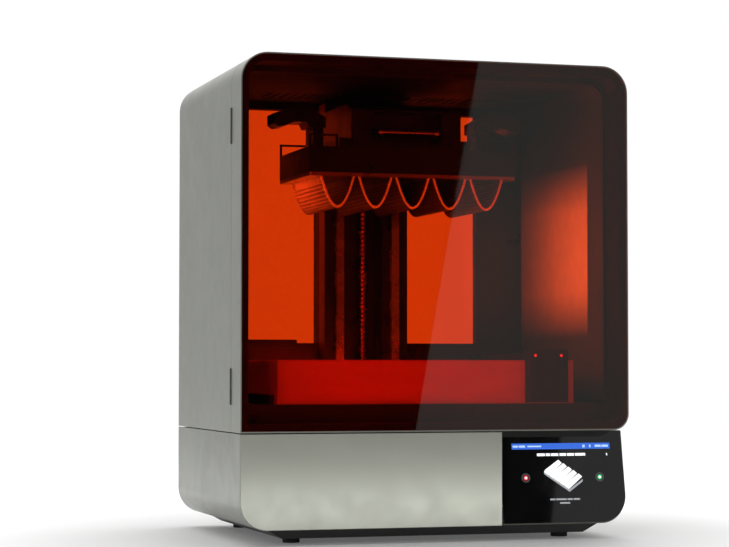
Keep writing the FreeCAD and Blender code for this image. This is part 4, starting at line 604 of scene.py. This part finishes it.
def trough_rims(skin):
    """The front and rear rims and the two upper edges that close a trough's skin."""
    verts = []
    faces = []
    ends = [[(across_step(i), v) for i in range(CELLS_AROUND + 1)] for v in (0.0, 1.0)]
    sides = [[(u, j / CELLS_ALONG) for j in range(CELLS_ALONG + 1)] for u in (0.0, 1.0)]
    for points in ends + sides:
        start = len(verts)
        for u, v in points:
            verts += [skin(u, v, 0.0), skin(u, v, PRINT_WALL)]
        for i in range(len(points) - 1):
            a = start + 2 * i
            faces.append((a, a + 1, a + 3, a + 2))
    return verts, faces


# ---------------------------------------------------------------- touchscreen
SCREEN_LOW = (-257.0, 24.0)
SCREEN_HIGH = (-229.0, 176.6)
SCREEN_SLOPE = math.hypot(SCREEN_HIGH[0] - SCREEN_LOW[0], SCREEN_HIGH[1] - SCREEN_LOW[1])


def on_screen(u, v, lift):
    """A point on the leaning touchscreen: X, distance up the slope and height over the glass, all in mm."""
    along = ((SCREEN_HIGH[0] - SCREEN_LOW[0]) / SCREEN_SLOPE, (SCREEN_HIGH[1] - SCREEN_LOW[1]) / SCREEN_SLOPE)
    y = SCREEN_LOW[0] + along[0] * v - along[1] * lift
    z = SCREEN_LOW[1] + along[1] * v + along[0] * lift
    return (u * MM, y * MM, z * MM)


def graphics(name, outlines, material, lift=0.02, thickness=0.06):
    """Lit areas of the touchscreen as one thin piece."""
    verts, faces = merged([slab(points, lift, thickness, on_screen) for points in outlines])
    return piece(name, verts, faces, material, "housing")


def touchscreen():
    """Generic picture of the control screen: a bar, a pictogram, two round keys and plain lines for words."""
    graphics("screen_bar", [rectangle(135, 310, 124.5, 134.5)], GLOW_BLUE)
    marks = [rectangle(137, 146, 127.8, 131), rectangle(147.5, 159, 127.8, 131),
             rectangle(163, 187.5, 128.2, 130.6), rectangle(261, 265, 127, 131.5),
             rectangle(273, 275.5, 127, 131.5), rectangle(283, 294, 127.6, 131.2),
             rectangle(295.5, 307, 127.6, 131.2)]
    graphics("screen_bar_marks", marks, GLOW_PALE, 0.09)
    words = [(179, 193), (194.5, 202), (203.5, 217), (219, 231), (232.5, 245), (246.5, 265)]
    lines = [rectangle(a, b, 113.2, 117.6) for a, b in words]
    lines += [rectangle(302.5, 304.5, 113.2, 117)]
    graphics("screen_title_line", lines, GLOW_WHITE)
    small = [rectangle(a, b, 39.6, 42.4) for a, b in ((197, 206), (207.5, 226), (227.5, 237), (238.5, 250))]
    small += [rectangle(214, 232, 33.6, 36.2)]
    graphics("screen_small_lines", small, GLOW_GREY)
    for name, u, material in (("left", 156.7, GLOW_RED), ("right", 288.1, GLOW_GREEN)):
        graphics("screen_key_" + name, annulus(u, 77.2, 7.4, 6.2), GLOW_DIM)
        graphics("screen_key_ring_" + name, annulus(u, 77.2, 4.3, 2.7), material)
        graphics("screen_key_dot_" + name, [circle(u, 77.2, 2.2, 24)], GLOW_WHITE, 0.03)
    front = [(189.5, 83.0), (232.5, 53.2), (232.5, 57.6), (189.5, 86.6)]
    right = [(232.5, 53.2), (257.1, 70.3), (257.1, 74.0), (232.5, 57.6)]
    graphics("screen_icon_sides", [front, right], GLOW_GREY)
    bumps = []
    rise = 3.6
    for step in range(5):
        a = step / 5.0
        b = (step + 0.92) / 5.0
        low_a = (189.5 + 43.0 * a, 86.6 - 29.0 * a)
        low_b = (189.5 + 43.0 * b, 86.6 - 29.0 * b)
        far_a = (low_a[0] + 26.5, low_a[1] + 16.6 + rise)
        far_b = (low_b[0] + 24.6, low_b[1] + 16.4 + rise)
        bumps.append([low_a, low_b, far_b, far_a, (low_a[0] + 2.0, low_a[1] + rise)])
    graphics("screen_icon_ribs", bumps, GLOW_WHITE, 0.09)


# ---------------------------------------------------------------- small trim
def door_border():
    """Black printed border on the inner face of the door glass."""
    low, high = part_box("door_glass")
    back = high[1] + 0.01 * MM
    rows = []
    for inset, radius_top, radius_low in ((0.3 * MM, 42.0 * MM, 24.0 * MM), (9.5 * MM, 33.0 * MM, 15.0 * MM)):
        x0 = low[0] + inset
        x1 = high[0] - inset
        z0 = low[2] + inset
        z1 = high[2] - inset
        points = []
        for cx, cz, radius, first in ((x0 + radius_top, z1 - radius_top, radius_top, 180.0),
                                      (x1 - radius_top, z1 - radius_top, radius_top, 90.0),
                                      (x1 - radius_low, z0 + radius_low, radius_low, 0.0),
                                      (x0 + 1 * MM, z0 + 1 * MM, 1 * MM, 270.0)):
            for step in range(9):
                angle = math.radians(first - 90.0 * step / 8)
                points.append((cx + radius * math.cos(angle), cz + radius * math.sin(angle)))
        rows.append(points)
    outer, inner = rows
    count = len(outer)
    verts = []
    for y in (back, back + 0.035 * MM):
        verts += [(x, y, z) for x, z in outer] + [(x, y, z) for x, z in inner]
    faces = []
    for i in range(count):
        n = (i + 1) % count
        faces.append((i, n, count + n, count + i))
        faces.append((2 * count + n, 2 * count + i, 3 * count + i, 3 * count + n))
        faces.append((i, 2 * count + i, 2 * count + n, n))
        faces.append((count + n, 3 * count + n, 3 * count + i, count + i))
    piece("door_glass_border", verts, faces, BLACK_INK, "door")


def mixer_marks():
    """Two small red spots that glow, at the top of the mixer column."""
    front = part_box("mixer_arm")[0][1]
    for name, u in (("left", 181.0), ("right", 227.0)):
        verts, faces = slab(circle(u, 302.0, 2.4, 20), 0.0, 0.25,
                            lambda x, z, lift: (x * MM, front - 0.02 * MM + lift * MM, z * MM))
        piece("mixer_mark_" + name, verts, faces, MARK_RED, "mixer")


def screen_trim():
    """Bright wedge of the painted panel's return that shows at the foot of the touchscreen."""
    points = [(110.0, 3.0), (112.9, 3.0), (112.7, 33.0), (110.6, 33.0)]
    verts, faces = slab(points, 0.02, 0.5, on_screen)
    piece("screen_edge_trim", verts, faces, BRIGHT_STEEL, "housing")


def tank_highlight_strip():
    """Painted highlight along the top edge of the tank's front wall: a thin strip of redder amber."""
    low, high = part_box("tank_frame")
    points = rectangle(low[0] / MM + 5, high[0] / MM - 5, 0.6, 2.0)
    verts, faces = slab(points, 0.0, 0.12, lambda u, v, lift: (u * MM, low[1] - lift * MM, high[2] - v * MM))
    piece("tank_rim_highlight", verts, faces, TANK_RIM_HIGHLIGHT, "tank")


def details():
    """All detail pieces."""
    lead_screw_piece()
    lattice_prints()
    touchscreen()
    door_border()
    mixer_marks()
    screen_trim()
    tank_highlight_strip()


# ---------------------------------------------------------------- camera, lights and stage
CAMERA_PLACE = (-1.12935, -3.58751, 0.28305)
CAMERA_AIM = (0.28832, 0.95656, 0.04317)
CAMERA_LENS = 106.68
SENSOR = 36.0


def make_camera():
    """Camera at the photograph's viewing angle."""
    data = bpy.data.cameras.new("camera")
    data.lens = CAMERA_LENS
    data.sensor_width = SENSOR
    camera = bpy.data.objects.new("camera", data)
    bpy.context.scene.collection.objects.link(camera)
    camera.location = CAMERA_PLACE
    camera.rotation_mode = "QUATERNION"
    camera.rotation_quaternion = Vector(CAMERA_AIM).to_track_quat("-Z", "Y")
    bpy.context.scene.camera = camera


def area_light(name, place, target, size, power, colour=(1.0, 1.0, 1.0), turn=0.0):
    """A rectangular softbox that faces a target, turned about its own axis."""
    data = bpy.data.lights.new(name, "AREA")
    data.shape = "RECTANGLE"
    data.size, data.size_y = size
    data.energy = power
    data.color = colour
    lamp = bpy.data.objects.new(name, data)
    bpy.context.scene.collection.objects.link(lamp)
    lamp.location = place
    lamp.rotation_mode = "QUATERNION"
    aim = (Vector(target) - Vector(place)).to_track_quat("-Z", "Y")
    lamp.rotation_quaternion = aim @ Matrix.Rotation(math.radians(turn), 4, "Z").to_quaternion()
    return lamp


def studio_world():
    """White behind and above the object, greyer far left, dark behind the camera."""
    world = bpy.data.worlds.new("studio")
    bpy.context.scene.world = world
    world.use_nodes = True
    nodes = world.node_tree.nodes
    links = world.node_tree.links
    nodes.clear()
    coords = nodes.new("ShaderNodeTexCoord")
    split = nodes.new("ShaderNodeSeparateXYZ")
    links.new(coords.outputs["Generated"], split.inputs["Vector"])
    both = nodes.new("ShaderNodeMath")
    both.operation = "MULTIPLY"
    for index, (axis, start, stop, low, high) in enumerate((("Y", -0.35, 0.45, 0.012, 1.02),
                                                            ("X", -0.30, 0.06, 0.42, 1.0))):
        fade = nodes.new("ShaderNodeMapRange")
        fade.interpolation_type = "SMOOTHSTEP"
        fade.inputs["From Min"].default_value = start
        fade.inputs["From Max"].default_value = stop
        fade.inputs["To Min"].default_value = low
        fade.inputs["To Max"].default_value = high
        links.new(split.outputs[axis], fade.inputs["Value"])
        links.new(fade.outputs["Result"], both.inputs[index])
    back = nodes.new("ShaderNodeBackground")
    back.inputs["Color"].default_value = (1.0, 1.0, 1.0, 1.0)
    links.new(both.outputs["Value"], back.inputs["Strength"])
    out = nodes.new("ShaderNodeOutputWorld")
    links.new(back.outputs["Background"], out.inputs["Surface"])


def floor():
    """Plain pale floor, lit up a little further out so that it meets the white background."""
    t = Tree("studio_floor")
    tone = t.ramp(t.noise(1.5, 3.0), ((0.3, (0.80, 0.80, 0.80)), (0.7, (0.82, 0.82, 0.82))))
    x, y, _ = t.place()
    away = t.math("SQRT", t.math("ADD", t.math("MULTIPLY", x, x), t.math("MULTIPLY", y, y)))
    t.principled(Base_Color=tone, Roughness=t.level(t.noise(4.0), 0.55, 0.65),
                 Emission_Color=(1.0, 1.0, 1.0, 1.0), Emission_Strength=t.level(away, 0.10, 0.45, 0.40, 0.90))
    mesh = bpy.data.meshes.new("studio_floor")
    corners = [(-4.0, -3.0, 0.0), (4.0, -3.0, 0.0), (4.0, 3.2, 0.0), (-4.0, 3.2, 0.0)]
    mesh.from_pydata(corners, [], [(0, 1, 2, 3)])
    mesh.materials.append(t.material)
    plane = bpy.data.objects.new("studio_floor", mesh)
    bpy.context.scene.collection.objects.link(plane)
    plane.location = (0.0, 0.0, -0.0005)


def linked(lamp, names):
    """The lamp reaches only these objects."""
    group = bpy.data.collections.new(lamp.name + "_reach")
    for name in names:
        group.objects.link(NODES[name] if name in NODES else bpy.data.objects[name])
    lamp.light_linking.receiver_collection = group


def hidden(lamp, mirrored=False):
    """The lamp itself doesn't show, straight on, through glass or, unless asked for, mirrored."""
    lamp.visible_camera = False
    lamp.visible_transmission = False
    lamp.visible_glossy = mirrored


CHAMBER_FITTINGS = ("build_platform", "build_face", "platform_lugs", "carrier_head", "clamp_lever",
                    "bearing_blocks", "carriage_plate", "z_rails", "z_tower", "tank_frame",
                    "threaded_lead_screw")

# name, place, target, size, power, colour and the objects that the lamp reaches
CHAMBER_LAMPS = (
    ("window_box", (-0.17, 0.40, 0.56), (0.315, -0.05, 0.47), (0.34, 0.36), 40.0, (1.0, 0.86, 0.70),
     CHAMBER_FITTINGS),
    ("print_box", (-0.29, 0.02, 0.60), (-0.13, -0.05, 0.575), (0.10, 0.10), 6.0, (1.0, 0.52, 0.26),
     ("lattice_prints",)),
    ("rim_box", (0.0, -0.24, 0.45), (0.0, -0.12, 0.57), (0.36, 0.05), 0.5, (1.0, 0.55, 0.25),
     ("lattice_prints",)),
    ("wall_box", (0.04, -0.15, 0.47), (0.315, -0.09, 0.455), (0.12, 0.20), 4.0, (1.0, 0.66, 0.36),
     ("chamber_liner",)),
)


def chamber_lights():
    """Warm lamps behind the left window and in the chamber, each for its own objects only."""
    for name, place, target, size, power, colour, reached in CHAMBER_LAMPS:
        lamp = area_light(name, place, target, size, power, colour)
        hidden(lamp)
        linked(lamp, reached)


VEIL_COLOUR = (0.58, 1.0, 1.0)  # evens out the amber reflection from the glass's rear face


def studio():
    """Lights, world and floor."""
    studio_world()
    floor()
    area_light("top_box", (0.0, 0.9, 3.6), (0.0, 0.3, 0.0), (6.0, 5.0), 105.0)
    area_light("left_box", (-3.6, -0.9, 2.0), (0.0, -0.1, 0.5), (2.4, 2.4), 5.0)
    area_light("front_box", (-2.6, -3.4, 1.2), (0.0, -0.26, 0.2), (1.6, 1.6), 42.0)
    low = area_light("floor_box", (-0.10, -0.50, 0.02), (-0.10, -0.264, 0.05), (0.9, 0.12), 1.0)
    hidden(low, mirrored=True)
    linked(low, ("base_front_panel",))
    veil = area_light("veil_box", (1.442, -2.7, 0.523), (1.442, 0.0, 0.523), (1.2, 1.8), 3.6, VEIL_COLOUR,
                      turn=-10.3)
    linked(veil, ("door_glass",))
    small = area_light("screen_veil_box", (1.53, -2.7, 0.80), (1.53, 0.0, 0.80), (0.6, 0.8), 0.8, turn=-14.3)
    linked(small, ("screen_glass",))
    chamber_lights()
    bpy.context.scene.view_settings.view_transform = "Standard"


dress_nodes()
details()
make_camera()
studio()
